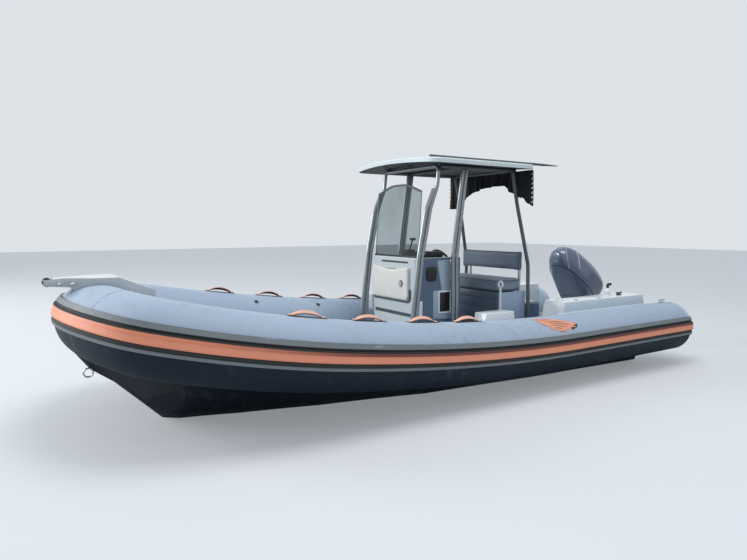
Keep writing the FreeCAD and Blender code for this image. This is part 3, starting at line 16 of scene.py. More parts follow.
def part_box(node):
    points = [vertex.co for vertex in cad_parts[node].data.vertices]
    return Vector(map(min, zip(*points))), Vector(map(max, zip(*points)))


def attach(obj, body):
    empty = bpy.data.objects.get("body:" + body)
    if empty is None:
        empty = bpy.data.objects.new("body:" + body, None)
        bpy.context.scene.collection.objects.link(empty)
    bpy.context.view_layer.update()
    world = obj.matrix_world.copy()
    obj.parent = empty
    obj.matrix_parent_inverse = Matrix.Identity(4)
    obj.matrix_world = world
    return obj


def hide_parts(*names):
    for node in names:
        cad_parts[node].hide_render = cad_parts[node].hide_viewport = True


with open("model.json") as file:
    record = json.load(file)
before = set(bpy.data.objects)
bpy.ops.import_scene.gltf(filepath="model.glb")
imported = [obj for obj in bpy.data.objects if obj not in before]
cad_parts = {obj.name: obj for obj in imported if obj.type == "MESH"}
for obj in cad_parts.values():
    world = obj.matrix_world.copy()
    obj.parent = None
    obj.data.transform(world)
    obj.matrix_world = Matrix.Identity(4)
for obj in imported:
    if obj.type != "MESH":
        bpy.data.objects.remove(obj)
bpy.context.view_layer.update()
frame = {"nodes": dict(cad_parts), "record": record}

print("pieces in the frame:", len(frame["nodes"]))

# %% [markdown]
# The camera stands where the photographer's did: off the port bow, at standing height, looking
# aft and slightly down. The lens was worked out from the strake's outline, and the picture is
# 747 by 560, so the lens in millimetres goes with a 36 mm wide sensor.

# %% Place the camera
PICTURE_WIDTH = 747
FOCAL_PIXELS = 585.9
SENSOR_WIDTH = 36.0
CAMERA_PLACE = Vector((4.0985, 5.2847, 1.6885))
CAMERA_AIM = Vector((-0.5406, -0.8364, -0.0909))

camera_data = bpy.data.cameras.new("camera")
camera_data.sensor_width = SENSOR_WIDTH
camera_data.lens = SENSOR_WIDTH * FOCAL_PIXELS / PICTURE_WIDTH
camera = bpy.data.objects.new("camera", camera_data)
camera.location = CAMERA_PLACE
camera.rotation_euler = CAMERA_AIM.to_track_quat("-Z", "Y").to_euler()
bpy.context.scene.collection.objects.link(camera)
bpy.context.scene.camera = camera
print("lens in mm:", round(camera_data.lens, 2))

# %% [markdown]
# Colours are written as a painter reads them off a screen, from 0 to 255. Shaders want linear
# light, so one small function turns the first into the second. Nodes are added by another, which
# takes plain values and other nodes' outputs alike, so that a finish reads as a short recipe.

# %% Colours and nodes
def paint(red, green, blue):
    """A screen colour as the linear colour that a shader takes."""
    def linear(level):
        share = level / 255
        return share / 12.92 if share <= 0.04045 else ((share + 0.055) / 1.055) ** 2.4
    return (linear(red), linear(green), linear(blue), 1.0)


def add_node(tree, kind, inputs=(), **settings):
    """A shader node. Inputs are pairs: a socket, and a value or another node's output."""
    item = tree.nodes.new("ShaderNode" + kind)
    for name, value in settings.items():
        setattr(item, name, value)
    for socket, value in inputs:
        if isinstance(value, bpy.types.NodeSocket):
            tree.links.new(value, item.inputs[socket])
        else:
            item.inputs[socket].default_value = value
    return item


def calc(tree, operation, first, second=0.0):
    return add_node(tree, "Math", [(0, first), (1, second)], operation=operation).outputs[0]


def mixed(tree, mask, under, over):
    """The under colour where the mask is 0 and the over colour where it is 1."""
    return add_node(tree, "Mix", [(0, mask), (6, under), (7, over)], data_type="RGBA").outputs[2]


def rising(tree, value, low, high):
    """A mask that rises smoothly from 0 at low to 1 at high."""
    return add_node(tree, "MapRange", [(0, value), (1, low), (2, high)],
                    interpolation_type="SMOOTHSTEP").outputs[0]


def place_on_piece(tree):
    """The X, Y and Z of each point in the boat's own frame."""
    coordinates = add_node(tree, "TexCoord").outputs["Object"]
    return add_node(tree, "SeparateXYZ", [(0, coordinates)]).outputs


def facing(tree):
    """The X, Y and Z of the direction that the surface faces, for pieces that never move."""
    return add_node(tree, "SeparateXYZ", [(0, add_node(tree, "NewGeometry").outputs["Normal"])]).outputs


print("a mid grey of 128 is", round(paint(128, 128, 128)[0], 3), "in linear light")

# %% [markdown]
# Several finishes share the same small effects: colour that drifts a little from place to place,
# a fine grain, a weave, streaks left by water, and scuffs. Each effect is a node group with named
# sockets, built once. A group gives out only colours, masks and heights; the shader that uses
# them stays in each material.

# %% Groups and noise
def new_group(name, inputs, outputs):
    """An empty shader group. Inputs are a title, a socket kind and a value, outputs a title and a kind."""
    group = bpy.data.node_groups.new(name, "ShaderNodeTree")
    for title, kind, value in inputs:
        group.interface.new_socket(title, in_out="INPUT", socket_type=kind).default_value = value
    for title, kind in outputs:
        group.interface.new_socket(title, in_out="OUTPUT", socket_type=kind)
    start = group.nodes.new("NodeGroupInput").outputs
    end = group.nodes.new("NodeGroupOutput").inputs
    return group, start, end


def stretched_noise(tree, scale, stretch, detail=3.0):
    """Noise on the piece's own coordinates, stretched along some axes."""
    coordinates = add_node(tree, "TexCoord").outputs["Object"]
    mapping = add_node(tree, "Mapping", [("Vector", coordinates), ("Scale", stretch)])
    return add_node(tree, "TexNoise", [("Vector", mapping.outputs[0]), ("Scale", scale),
                                       ("Detail", detail)]).outputs[0]


print("groups can be made")

# %% [markdown]
# Drift changes a colour's value in broad patches with closer ones inside them. Grain and weave give
# heights for bumps. Streaks and scuffs give masks, which a finish uses to lay a second colour on.

# %% Drift and grain
def drift_group():
    """Lightens and darkens a colour in broad and close patches."""
    group, start, end = new_group("colour_drift", [("Colour", "NodeSocketColor", (0.5, 0.5, 0.5, 1)),
                                                   ("Amount", "NodeSocketFloat", 0.1),
                                                   ("Scale", "NodeSocketFloat", 2.0)],
                                  [("Colour", "NodeSocketColor")])
    broad = stretched_noise(group, start["Scale"], (1, 1, 1))
    close = stretched_noise(group, calc(group, "MULTIPLY", start["Scale"], 11.0), (1, 1, 1))
    blend = calc(group, "ADD", calc(group, "MULTIPLY", broad, 0.7), calc(group, "MULTIPLY", close, 0.3))
    swing = calc(group, "MULTIPLY", calc(group, "SUBTRACT", blend, 0.5), start["Amount"])
    level = calc(group, "ADD", 1.0, calc(group, "MULTIPLY", swing, 4.0))
    shifted = add_node(group, "HueSaturation", [("Color", start["Colour"]), ("Value", level)])
    group.links.new(shifted.outputs[0], end["Colour"])
    return group


def grain_group():
    """A height for pebbled or leathery surfaces."""
    group, start, end = new_group("fine_grain", [("Scale", "NodeSocketFloat", 400.0)],
                                  [("Height", "NodeSocketFloat")])
    soft = stretched_noise(group, start["Scale"], (1, 1, 1), 2.0)
    coordinates = add_node(group, "TexCoord").outputs["Object"]
    cells = add_node(group, "TexVoronoi", [("Vector", coordinates), ("Scale", start["Scale"])]).outputs[0]
    height = calc(group, "ADD", calc(group, "MULTIPLY", soft, 0.6), calc(group, "MULTIPLY", cells, 0.4))
    group.links.new(height, end["Height"])
    return group


print("drift and grain can be built")

# %% [markdown]
# A weave is two sine waves that cross. Masks come from noise as well: stretched along one axis it
# makes runs or scratches, and a narrow window of its values picks out only a few of them.

# %% Weave, streaks and scuffs
def weave_group():
    """A height for crossed threads."""
    group, start, end = new_group("weave", [("Scale", "NodeSocketFloat", 300.0)],
                                  [("Height", "NodeSocketFloat")])
    place = place_on_piece(group)
    level = calc(group, "ADD", place[0], place[1])
    across = calc(group, "SINE", calc(group, "MULTIPLY", level, start["Scale"]))
    down = calc(group, "SINE", calc(group, "MULTIPLY", place[2], start["Scale"]))
    group.links.new(calc(group, "MULTIPLY", across, down), end["Height"])
    return group


def streak_group():
    """Upright runs that gather in patches, as drying water leaves them."""
    group, start, end = new_group("water_streaks", [("Scale", "NodeSocketFloat", 5.0)],
                                  [("Mask", "NodeSocketFloat")])
    runs = stretched_noise(group, start["Scale"], (4, 4, 0.5), 4.0)
    patches = stretched_noise(group, 1.3, (1, 1, 1), 2.0)
    mask = calc(group, "MULTIPLY", rising(group, runs, 0.5, 0.72), rising(group, patches, 0.42, 0.62))
    group.links.new(mask, end["Mask"])
    return group


def scuff_group():
    """Short thin marks in two directions."""
    group, start, end = new_group("scuffs", [("Scale", "NodeSocketFloat", 9.0)],
                                  [("Mask", "NodeSocketFloat")])
    long_marks = stretched_noise(group, start["Scale"], (0.6, 2.2, 9), 5.0)
    cross_marks = stretched_noise(group, start["Scale"], (9, 3, 1.1), 5.0)
    mask = calc(group, "MAXIMUM", rising(group, long_marks, 0.66, 0.72),
                rising(group, cross_marks, 0.7, 0.75))
    group.links.new(mask, end["Mask"])
    return group


EFFECTS = {"drift": drift_group(), "grain": grain_group(), "weave": weave_group(),
           "streaks": streak_group(), "scuffs": scuff_group()}
print("shared effects:", ", ".join(EFFECTS))

# %% [markdown]
# One recipe serves most of the boat. The colour drifts, streaks or scuffs lay a second colour over
# it, the roughness follows the same masks, and grain or weave lifts the surface by a depth given
# in metres. Where a surface has several tones, a small function works out its colour. Numbers that
# are the same all over go straight onto the shader.

# %% One recipe for finishes
def effect(tree, name, **inputs):
    """Place a shared group, with each input given as a value or as a link."""
    item = tree.nodes.new("ShaderNodeGroup")
    item.node_tree = EFFECTS[name]
    for title, value in inputs.items():
        if isinstance(value, bpy.types.NodeSocket):
            tree.links.new(value, item.inputs[title])
        else:
            item.inputs[title].default_value = value
    return item.outputs[0]


def blank_material(name):
    """A new material, its nodes and its shader."""
    material = bpy.data.materials.new(name)
    material.use_nodes = True
    return material, material.node_tree, material.node_tree.nodes["Principled BSDF"]


def finish(name, colour, roughness, drift=0.05, drift_scale=2.0, marks=None, marks_colour=(0, 0, 0, 1),
           marks_amount=0.0, marks_scale=6.0, lift="grain", lift_scale=500.0, lift_depth=0.0001,
           **shader_values):
    """A surface finish. Colour is a paint, or a function that works one out from the piece's place."""
    material, tree, shader = blank_material(name)
    base = colour(tree) if callable(colour) else colour
    base = effect(tree, "drift", Colour=base, Amount=drift, Scale=drift_scale)
    rough = calc(tree, "ADD", roughness, calc(tree, "MULTIPLY", stretched_noise(tree, 7.0, (1, 1, 1)), 0.08))
    if marks:
        mask = calc(tree, "MULTIPLY", effect(tree, marks, Scale=marks_scale), marks_amount)
        base = mixed(tree, mask, base, marks_colour)
        rough = calc(tree, "ADD", rough, calc(tree, "MULTIPLY", mask, 0.25))
    height = effect(tree, lift, Scale=lift_scale)
    bump = add_node(tree, "Bump", [("Distance", lift_depth), ("Height", height)])
    tree.links.new(base, shader.inputs["Base Color"])
    tree.links.new(rough, shader.inputs["Roughness"])
    tree.links.new(bump.outputs[0], shader.inputs["Normal"])
    for title, value in shader_values.items():
        shader.inputs[title.replace("_", " ")].default_value = value
    return material


GRIME = paint(96, 98, 92)
CHALK = paint(214, 216, 214)
TUBE_GREY = paint(166, 183, 203)
COATED_FABRIC = dict(lift_scale=900, lift_depth=0.00012)
print("one recipe, with", len(EFFECTS), "effects to draw on")

# %% [markdown]
# The tubes are coated fabric: matt, finely grained, a cool pale grey that dirt has dulled in faint
# patches. Below the strake the fabric is painted dark, as shade. The strake is rubber in two greys
# with an orange band, whose upper edge is painted a darker red, as shade. The moulded hull is a dark
# glossy blue-grey.

# %% Tones of the collar and the hull
TRANSOM_BACK, SOLE_LEVEL = -2.57, 0.272
BOW_DECK_START, BOW_DECK_RISE = 2.2, 0.3


def strake_greys(tree):
    """Dark grey above and a lighter grey on the lower flange, which faces down."""
    return mixed(tree, rising(tree, facing(tree)[2], -0.12, 0.05), paint(128, 136, 140), paint(112, 120, 124))


def slope_painted_shade(tree):
    """Painted shade: deep red along the side, brightening to orange as the band turns round the bow."""
    turned = rising(tree, place_on_piece(tree)[0], 1.4, 3.3)
    return mixed(tree, turned, paint(122, 66, 58), paint(244, 150, 114))


def band_orange_and_shade(tree):
    """Orange on the flat face, and the slope's red of painted shade on the edge that faces up."""
    return mixed(tree, rising(tree, facing(tree)[2], 0.36, 0.5), paint(250, 160, 126), slope_painted_shade(tree))


def hull_tones(tree):
    """Dark topsides, greyer at the bow as painted light, a pale moulded inside, and a pale painted reflection
    of the water in a band at the waterline.
    """
    place, out = place_on_piece(tree), facing(tree)
    at_bow = calc(tree, "GREATER_THAN", place[0], BOW_DECK_START)
    floor = calc(tree, "ADD", SOLE_LEVEL, calc(tree, "MULTIPLY", at_bow, BOW_DECK_RISE))
    within = calc(tree, "GREATER_THAN", place[2], floor)
    within = calc(tree, "MULTIPLY", within, calc(tree, "GREATER_THAN", place[0], TRANSOM_BACK))
    within = calc(tree, "MULTIPLY", within, calc(tree, "GREATER_THAN", out[2], -0.3))
    outwards = calc(tree, "MULTIPLY", out[1], calc(tree, "SIGN", place[1]))
    within = calc(tree, "MULTIPLY", within, calc(tree, "LESS_THAN", outwards, 0.25))
    inside = calc(tree, "MAXIMUM", within, calc(tree, "GREATER_THAN", out[2], 0.6))
    # The pale band at the waterline is a painted reflection of the water; the greyer bow is painted light.
    waterline = calc(tree, "MULTIPLY", rising(tree, place[2], 0.075, 0.02), 0.45)
    topsides = mixed(tree, rising(tree, place[0], 1.2, 3.2), paint(16, 35, 48), paint(20, 34, 45))
    outside = mixed(tree, waterline, topsides, paint(78, 88, 90))
    return mixed(tree, inside, outside, paint(176, 188, 194))


print("four tones that follow the shape")

# %% [markdown]
# Each finish has a short name, which is often the name of the CAD pieces' material slot too. After
# the colour come the roughness, the drift and its scale, then the marks with their colour, share
# and scale.

# %% Finishes of the collar and the hull
FINISHES = {
    "tube_fabric": finish("tube_fabric_matt", TUBE_GREY, 0.6, 0.035, 1.6, "streaks", GRIME, 0.16, 4.0,
                          **COATED_FABRIC, Sheen_Weight=0.12),
    "cap_fabric": finish("cap_fabric_matt", paint(176, 195, 217), 0.6, 0.04, 3.0, "streaks", GRIME, 0.22,
                         6.0, **COATED_FABRIC, Sheen_Weight=0.12),
    # Painted shade: the dark fabric below the strake.
    "tube_painted_shade": finish("tube_under_painted_shade", paint(14, 34, 50), 0.5, 0.08, 2.5, "streaks", CHALK, 0.04,
                         3.0, **COATED_FABRIC, Specular_IOR_Level=0.3),
    "strake_dark": finish("strake_grey_rubber", strake_greys, 0.5, 0.06, 5.0, "scuffs", CHALK, 0.3, 7.0,
                          lift_scale=700, lift_depth=0.0002),
    "strake_light": finish("strake_orange_rubber", band_orange_and_shade, 0.45, 0.05, 5.0, "scuffs",
                           paint(250, 190, 160), 0.35, 6.0, lift_scale=700, lift_depth=0.00015),
    # Painted shade: the deeper red on the strake band's upper slope.
    "strake_slope_shade": finish("strake_slope_painted_shade", slope_painted_shade, 0.5, 0.05, 5.0, "scuffs",
                           paint(200, 120, 96), 0.3, 6.0, lift_scale=700, lift_depth=0.00015),
    # Painted shade: the dark lower channel and the black upper groove and edge of the strake.
    "strake_channel": finish("strake_channel_painted_shade", paint(48, 50, 50), 0.6, 0.1, 8.0),
    "strake_groove": finish("strake_groove_painted_shadow", paint(16, 16, 18), 0.7, 0.1, 8.0),
    "hull_dark": finish("hull_gelcoat", hull_tones, 0.24, 0.05, 1.2, "streaks", paint(104, 114, 114), 0.2,
                        3.0, lift_scale=60, lift_depth=0.00008, Coat_Weight=0.05,
                        Specular_IOR_Level=0.25),
}
print("collar and hull finishes:", len(FINISHES))

# %% [markdown]
# Mouldings are gelcoat: hard, smooth and slightly wavy, with streaks where water has dried. The
# console's front is pale and its sides are a blue-grey that is painted shade. The seat's front panel
# is painted darker, as shade, and its sides paler, as light. Decks carry a fine raised non-slip grain.
# Since these pieces never move, the way that a surface faces can choose its tone, and so where light
# and shade are painted.

# %% Tones of the mouldings
def side_light_and_shade_mask(tree):
    """1 where a surface faces port or starboard; it places painted light and shade on the sides."""
    return rising(tree, calc(tree, "ABSOLUTE", facing(tree)[1]), 0.6, 0.9)


def down_shade_mask(tree, low, high):
    """1 where a surface faces down; it places painted shade."""
    return rising(tree, calc(tree, "MULTIPLY", facing(tree)[2], -1.0), low, high)


def console_tones_and_shade(tree):
    """Pale ends and top, and blue-grey sides that are painted shade."""
    return mixed(tree, side_light_and_shade_mask(tree), paint(196, 205, 208), paint(88, 107, 132))


def seat_base_light_and_shade(tree):
    """A front panel painted dark as shade, between sides painted paler as light."""
    return mixed(tree, side_light_and_shade_mask(tree), paint(88, 103, 120), paint(150, 170, 194))


def nose_light_and_shade(tree):
    """Painted light and shade: a white top, grey sides and a dark face under the tip."""
    upper = mixed(tree, rising(tree, facing(tree)[2], 0.5, 0.8), paint(188, 197, 201),
                  paint(232, 238, 239))
    return mixed(tree, down_shade_mask(tree, 0.15, 0.5), upper, paint(78, 88, 94))


def stern_box_light_and_shade(tree):
    """Pale grey sides, painted as shade, between a whiter raked end and a whiter lid."""
    return mixed(tree, side_light_and_shade_mask(tree), paint(240, 246, 248), paint(204, 219, 226))


def roof_tones_and_shade(tree):
    """A pale rim, a duller top and a dark underside that is painted shade."""
    upper = mixed(tree, rising(tree, facing(tree)[2], 0.5, 0.9), paint(214, 225, 228),
                  paint(184, 193, 197))
    return mixed(tree, down_shade_mask(tree, 0.3, 0.7), upper, paint(26, 28, 27))


print("five tones for mouldings")

# %% [markdown]
# All mouldings share one gloss, so a second recipe holds what they have in common and passes the
# rest on. The same cell ends with the ceiling, the piping and the deck.

# %% Finishes of the mouldings and decks
def moulding(name, colour, roughness=0.22, **more):
    """Gelcoat with a slow ripple in its gloss and faint dried streaks."""
    settings = dict(drift=0.03, drift_scale=3.0, marks="streaks", marks_colour=GRIME, marks_amount=0.12,
                    marks_scale=7.0, lift_scale=45, lift_depth=0.00012, Coat_Weight=0.3, Coat_Roughness=0.12)
    settings.update(more)
    return finish(name, colour, roughness, **settings)


FINISHES.update({
    "moulding_blue": moulding("console_gelcoat_and_shade", console_tones_and_shade),
    "moulding_white": moulding("white_gelcoat", paint(232, 239, 241)),
    "moulding_dark": moulding("navy_gelcoat", paint(76, 98, 126)),
    "seat_base": moulding("seat_base_gelcoat_and_light", seat_base_light_and_shade),
    "nose": moulding("nose_gelcoat_and_shade", nose_light_and_shade),
    "stern_box": moulding("stern_box_gelcoat_and_shade", stern_box_light_and_shade),
    # Painted light: the paler rear panel on the console's sides.
    "side_panel": moulding("side_panel_painted_light", paint(160, 178, 192)),
    "door_white": moulding("door_gelcoat", paint(220, 218, 212), 0.4, marks_amount=0.08),
    "roof_skin": moulding("roof_gelcoat_and_shade", roof_tones_and_shade, 0.45, Coat_Weight=0.05, Specular_IOR_Level=0.3),
    "ceiling": finish("ceiling_liner", paint(88, 83, 80), 0.7, 0.06, 4.0, lift_scale=420, lift_depth=0.0003),
    "piping": finish("pale_piping", paint(196, 198, 194), 0.5, 0.05, 6.0),
    "deck_grey": finish("deck_non_slip", paint(182, 192, 198), 0.55, 0.05, 2.5, "scuffs", GRIME, 0.25, 5.0,
                        lift_scale=160, lift_depth=0.0012),
})
print("finishes so far:", len(FINISHES))

# %% [markdown]
# Metal, plastic, cloth and glass follow. Polished steel takes its look from what it reflects, so it
# only needs light scratches. The screen is clear sheet with a slight tint. The seat covers are
# vinyl with a leather-like grain, and the shade is a coarse black canvas.

# %% The cowl's tones and the screen's glass
def cowl_tones(tree):
    """The top cover and the apron differ a little; the seam between them slopes."""
    place = place_on_piece(tree)
    slope = calc(tree, "MULTIPLY", calc(tree, "ADD", place[0], 2.256), 0.81)
    above = calc(tree, "SUBTRACT", calc(tree, "SUBTRACT", place[2], 1.164), slope)
    return mixed(tree, calc(tree, "GREATER_THAN", above, 0.0), paint(86, 100, 120), paint(84, 97, 120))


def screen_glass():
    material, tree, shader = blank_material("screen_acrylic")
    haze = stretched_noise(tree, 3.0, (1, 1, 0.4), 5.0)
    tint = mixed(tree, rising(tree, haze, 0.4, 0.75), paint(176, 187, 190), paint(154, 166, 169))
    tree.links.new(tint, shader.inputs["Base Color"])
    tree.links.new(calc(tree, "MULTIPLY", rising(tree, haze, 0.45, 0.8), 0.06), shader.inputs["Roughness"])
    shader.inputs["Transmission Weight"].default_value = 1.0
    shader.inputs["IOR"].default_value = 1.3
    return material


FINISHES["screen_clear"] = screen_glass()
print("the screen lets light through")

# %% [markdown]
# The metals differ in how much they reflect and how blurred the reflection is. The cowl has a clear
# coat over a faintly metallic enamel.

# %% Finishes of metal and enamel
FINISHES.update({
    "stainless": finish("polished_steel", paint(205, 208, 210), 0.16, 0.03, 9.0, "scuffs",
                        paint(150, 146, 140), 0.25, 14.0, lift_scale=120, lift_depth=0.00004,
                        Metallic=1.0),
    "tube_white": finish("leg_aluminium", paint(150, 157, 161), 0.26, 0.05, 6.0, "scuffs",
                         paint(110, 112, 110), 0.35, 12.0, lift_scale=90, lift_depth=0.00005,
                         Metallic=0.75),
    # Painted shade: the dark leg tubes.
    "tube_dark": finish("leg_painted_shade", paint(92, 97, 99), 0.35, 0.08, 6.0, "scuffs",
                        paint(180, 180, 176), 0.25, 12.0, lift_scale=90, lift_depth=0.00005,
                        Metallic=0.35),
    "engine_blue": finish("cowl_enamel", cowl_tones, 0.3, 0.05, 3.0, "scuffs", paint(150, 158, 172), 0.12,
                          8.0, lift_scale=40, lift_depth=0.00006, Metallic=0.3, Coat_Weight=1.0,
                          Coat_Roughness=0.05),
    "engine_grey": finish("engine_leg_enamel", paint(58, 64, 76), 0.35, 0.08, 5.0, "scuffs",
                          paint(120, 124, 130), 0.3, 10.0, lift_scale=200, Metallic=0.3),
})
print("finishes so far:", len(FINISHES))

# %% [markdown]
# Canvas, vinyl, rubber, nylon and film are dull, each with its own grain. The small trims need little
# more than a colour and a roughness.

# %% Finishes of cloth, rubber and trim
FINISHES.update({
    "canvas_black": finish("black_canvas", paint(17, 18, 21), 0.85, 0.25, 9.0, "streaks",
                           paint(56, 57, 59), 0.3, 6.0, lift="weave", lift_scale=2600, lift_depth=0.0003,
                           Sheen_Weight=0.1),
    "seat_skin": finish("seat_vinyl", paint(92, 107, 123), 0.55, 0.06, 6.0, "streaks",
                        paint(130, 138, 142), 0.25, 6.0, lift_scale=520, lift_depth=0.00025,
                        Sheen_Weight=0.1),
    "cushion_skin": finish("cushion_vinyl", paint(116, 130, 146), 0.55, 0.06, 6.0, "streaks",
                           paint(150, 158, 162), 0.25, 6.0, lift_scale=520, lift_depth=0.00025,
                           Sheen_Weight=0.1),
    "black_plastic": finish("black_plastic", paint(24, 25, 28), 0.42, 0.15, 8.0, "scuffs",
                            paint(80, 80, 82), 0.2, 15.0, lift_scale=800, lift_depth=0.00012),
    "handle_orange": finish("handle_rubber", paint(238, 184, 162), 0.5, 0.06, 9.0, "scuffs",
                            paint(250, 205, 182), 0.45, 12.0, lift_scale=600, lift_depth=0.00025),
    "nylon": finish("black_nylon", paint(30, 31, 33), 0.5, 0.12, 12.0, lift_depth=0.0002),
    "flash_orange": finish("flash_film", paint(236, 160, 128), 0.35, 0.07, 14.0, "scuffs",
                           paint(250, 205, 182), 0.3, 16.0, lift_scale=300, lift_depth=0.00005),
    "flash_dark": finish("flash_dark_film", paint(70, 40, 36), 0.4, 0.07, 14.0),
    "dark_trim": finish("dark_trim", paint(62, 72, 80), 0.45, 0.08, 9.0, "scuffs", paint(120, 126, 128),
                        0.25, 14.0),
    "screen_edge": finish("screen_edge", paint(150, 166, 168), 0.3, 0.05, 12.0),
    "piping_dark": finish("piping_dark", paint(66, 76, 86), 0.5, 0.08, 12.0),
    "lacing_white": finish("lacing_cord", paint(222, 222, 216), 0.7, 0.05, 20.0),
    "valve_grey": finish("valve_grey", paint(150, 160, 168), 0.5, 0.05, 14.0),
    "cowl_line": finish("cowl_highlight", paint(196, 203, 214), 0.3, 0.05, 12.0, Coat_Weight=0.6),
    "dial_face": finish("dial_face", paint(214, 216, 212), 0.25, 0.03, 20.0),
})
print("finishes in all:", len(FINISHES))

# %% [markdown]
# Every CAD piece names the material slot that it takes. Some pieces share a slot and still look
# different on the real boat, so a short table gives those their own finish.

# %% Dress the CAD pieces
OWN_FINISH = {"bow_nose": "nose", "seat_base": "seat_base", "stern_box_port": "stern_box",
              "stern_box_starboard": "stern_box", "console_door": "door_white"}
SLOT_OF = {entry["node"]: entry["material_slot"] for entry in frame["record"]["subparts"]}


def finish_of(node):
    """The finish of a CAD piece: its own one, or else its slot's."""
    return FINISHES[OWN_FINISH.get(node, SLOT_OF[node])]


for node, piece in frame["nodes"].items():
    for number in range(max(1, len(piece.material_slots))):
        if piece.material_slots:
            piece.material_slots[number].material = finish_of(node)
        else:
            piece.data.materials.append(finish_of(node))
print("dressed CAD pieces:", len(frame["nodes"]))

# %% [markdown]
# A studio floor lies at the boat's waterline. It is one pale plane, and it glows a little for the
# camera alone, so that it looks as pale as the backdrop and still takes the boat's shadow.

# %% The studio floor
FLOOR_SIZE = 80.0
BACKDROP = paint(222, 227, 232)
FLOOR_GLOW = 0.30


def link_object(name, mesh):
    """An object at the origin, in the scene."""
    item = bpy.data.objects.new(name, mesh)
    bpy.context.scene.collection.objects.link(item)
    return item


def studio_floor():
    shape = bmesh.new()
    bmesh.ops.create_grid(shape, x_segments=1, y_segments=1, size=FLOOR_SIZE / 2)
    mesh = bpy.data.meshes.new("studio_floor")
    shape.to_mesh(mesh)
    shape.free()
    paint_coat = finish("floor_paint", paint(192, 196, 199), 0.75, 0.01, 0.6, lift_scale=30)
    tree = paint_coat.node_tree
    shader = tree.nodes["Principled BSDF"]
    shader.inputs["Emission Color"].default_value = BACKDROP
    seen = add_node(tree, "LightPath").outputs["Is Camera Ray"]
    tree.links.new(calc(tree, "MULTIPLY", seen, FLOOR_GLOW), shader.inputs["Emission Strength"])
    mesh.materials.append(paint_coat)
    link_object("studio_floor", mesh)


studio_floor()
print("floor at the waterline,", FLOOR_SIZE, "m square")

# %% [markdown]
# The world gives the object a soft, slightly blue light. The camera, reflections and glass see the
# pale backdrop in its place. One lamp hangs overhead and one stands far off the starboard bow. Both
# are large squares, so that their shadows have soft edges.

# %% World and lamps
WORLD_COLOUR = (0.80, 0.85, 0.92, 1.0)
WORLD_STRENGTH = 0.62


def studio_world():
    world = bpy.data.worlds.new("studio_world")
    world.use_nodes = True
    tree = world.node_tree
    background = tree.nodes["Background"]
    rays = add_node(tree, "LightPath").outputs
    seen = calc(tree, "MAXIMUM", rays["Is Camera Ray"], calc(tree, "MAXIMUM", rays["Is Glossy Ray"],
                                                             rays["Is Transmission Ray"]))
    light = tuple(level * WORLD_STRENGTH for level in WORLD_COLOUR)
    tree.links.new(mixed(tree, seen, light, BACKDROP), background.inputs["Color"])
    bpy.context.scene.world = world


def lamp(name, place, aim, size, power):
    """A square area lamp that points at one place on the boat."""
    data = bpy.data.lights.new(name, "AREA")
    data.shape = "SQUARE"
    data.size = size
    data.energy = power
    item = bpy.data.objects.new(name, data)
    item.location = place
    item.rotation_euler = (Vector(aim) - Vector(place)).to_track_quat("-Z", "Y").to_euler()
    bpy.context.scene.collection.objects.link(item)


studio_world()
lamp("sky_lamp", place=(0.6, 1.5, 8.5), aim=(0.0, 0.0, 0.8), size=4.5, power=335)
lamp("bow_lamp", place=(14.0, -9.0, 6.5), aim=(0.0, 0.0, 1.2), size=6.0, power=1500)
bpy.context.scene.view_settings.view_transform = "Standard"
print("a pale world and two lamps")

# %% [markdown]
# New pieces share a few tools. The first turns a bmesh into a finished object: smooth faces, sharp
# creases, a finish, and a body that it rides on. Where it stands for a CAD piece, that piece is hidden.

# %% Make a piece
CREASE = math.radians(38)
MERGE_WITHIN = 0.00002


def make_piece(shape, name, finish_name, body="boat", slot=None, stands_for=(), flip=True):
    """Turn a bmesh into a piece that rides on a body, with smooth faces and creased edges."""
    if flip:
        bmesh.ops.recalc_face_normals(shape, faces=shape.faces)
    mesh = bpy.data.meshes.new(name)
    shape.to_mesh(mesh)
    shape.free()
    mesh.materials.append(FINISHES[finish_name])
    mesh.polygons.foreach_set("use_smooth", [True] * len(mesh.polygons))
    mesh.set_sharp_from_angle(angle=CREASE)
    piece = link_object(name, mesh)
    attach(piece, body)
    if stands_for:
        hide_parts(*stands_for)
    return piece


print("pieces can be made")

# %% [markdown]
# A CAD mesh is loose triangles, so a copy is merged before its edges can be found and rounded. The
# small helpers below each wrap one bmesh operator, with the settings that this boat's pieces use.

# %% Round, cut and raise
def kept_kind(items, kind):
    """Only the vertices, edges or faces of what an operator gave back."""
    return [item for item in items if isinstance(item, kind)]


def round_edges(shape, edges, width, segments):
    bmesh.ops.bevel(shape, geom=edges, offset=width, offset_type="OFFSET", segments=segments, profile=0.5,
                    affect="EDGES", material=-1, clamp_overlap=True)


def merged_copy(node):
    """The mesh of a CAD piece, with its loose triangles joined."""
    shape = bmesh.new()
    shape.from_mesh(frame["nodes"][node].data)
    bmesh.ops.remove_doubles(shape, verts=shape.verts, dist=MERGE_WITHIN)
    return shape


def soften(node, name, finish_name, width):
    """The shape of a CAD piece with its sharp edges rounded, as a piece that stands for it."""
    shape = merged_copy(node)
    bmesh.ops.dissolve_limit(shape, angle_limit=math.radians(0.6), verts=shape.verts, edges=shape.edges)
    sharp = [edge for edge in shape.edges
             if edge.is_manifold and edge.calc_face_angle(0.0) > CREASE]
    round_edges(shape, sharp, width, 2)
    return make_piece(shape, name, finish_name, slot=SLOT_OF[node], stands_for=(node,))


def flat_face(shape, corners):
    """A single face through a list of corners."""
    return shape.faces.new([shape.verts.new(corner) for corner in corners])


def slice_through(shape, point, normal):
    """Cut every face that a plane crosses, and keep both sides. Gives the edges of the cut."""
    everything = shape.verts[:] + shape.edges[:] + shape.faces[:]
    cut = bmesh.ops.bisect_plane(shape, geom=everything, plane_co=point, plane_no=normal)["geom_cut"]
    return kept_kind(cut, bmesh.types.BMEdge)


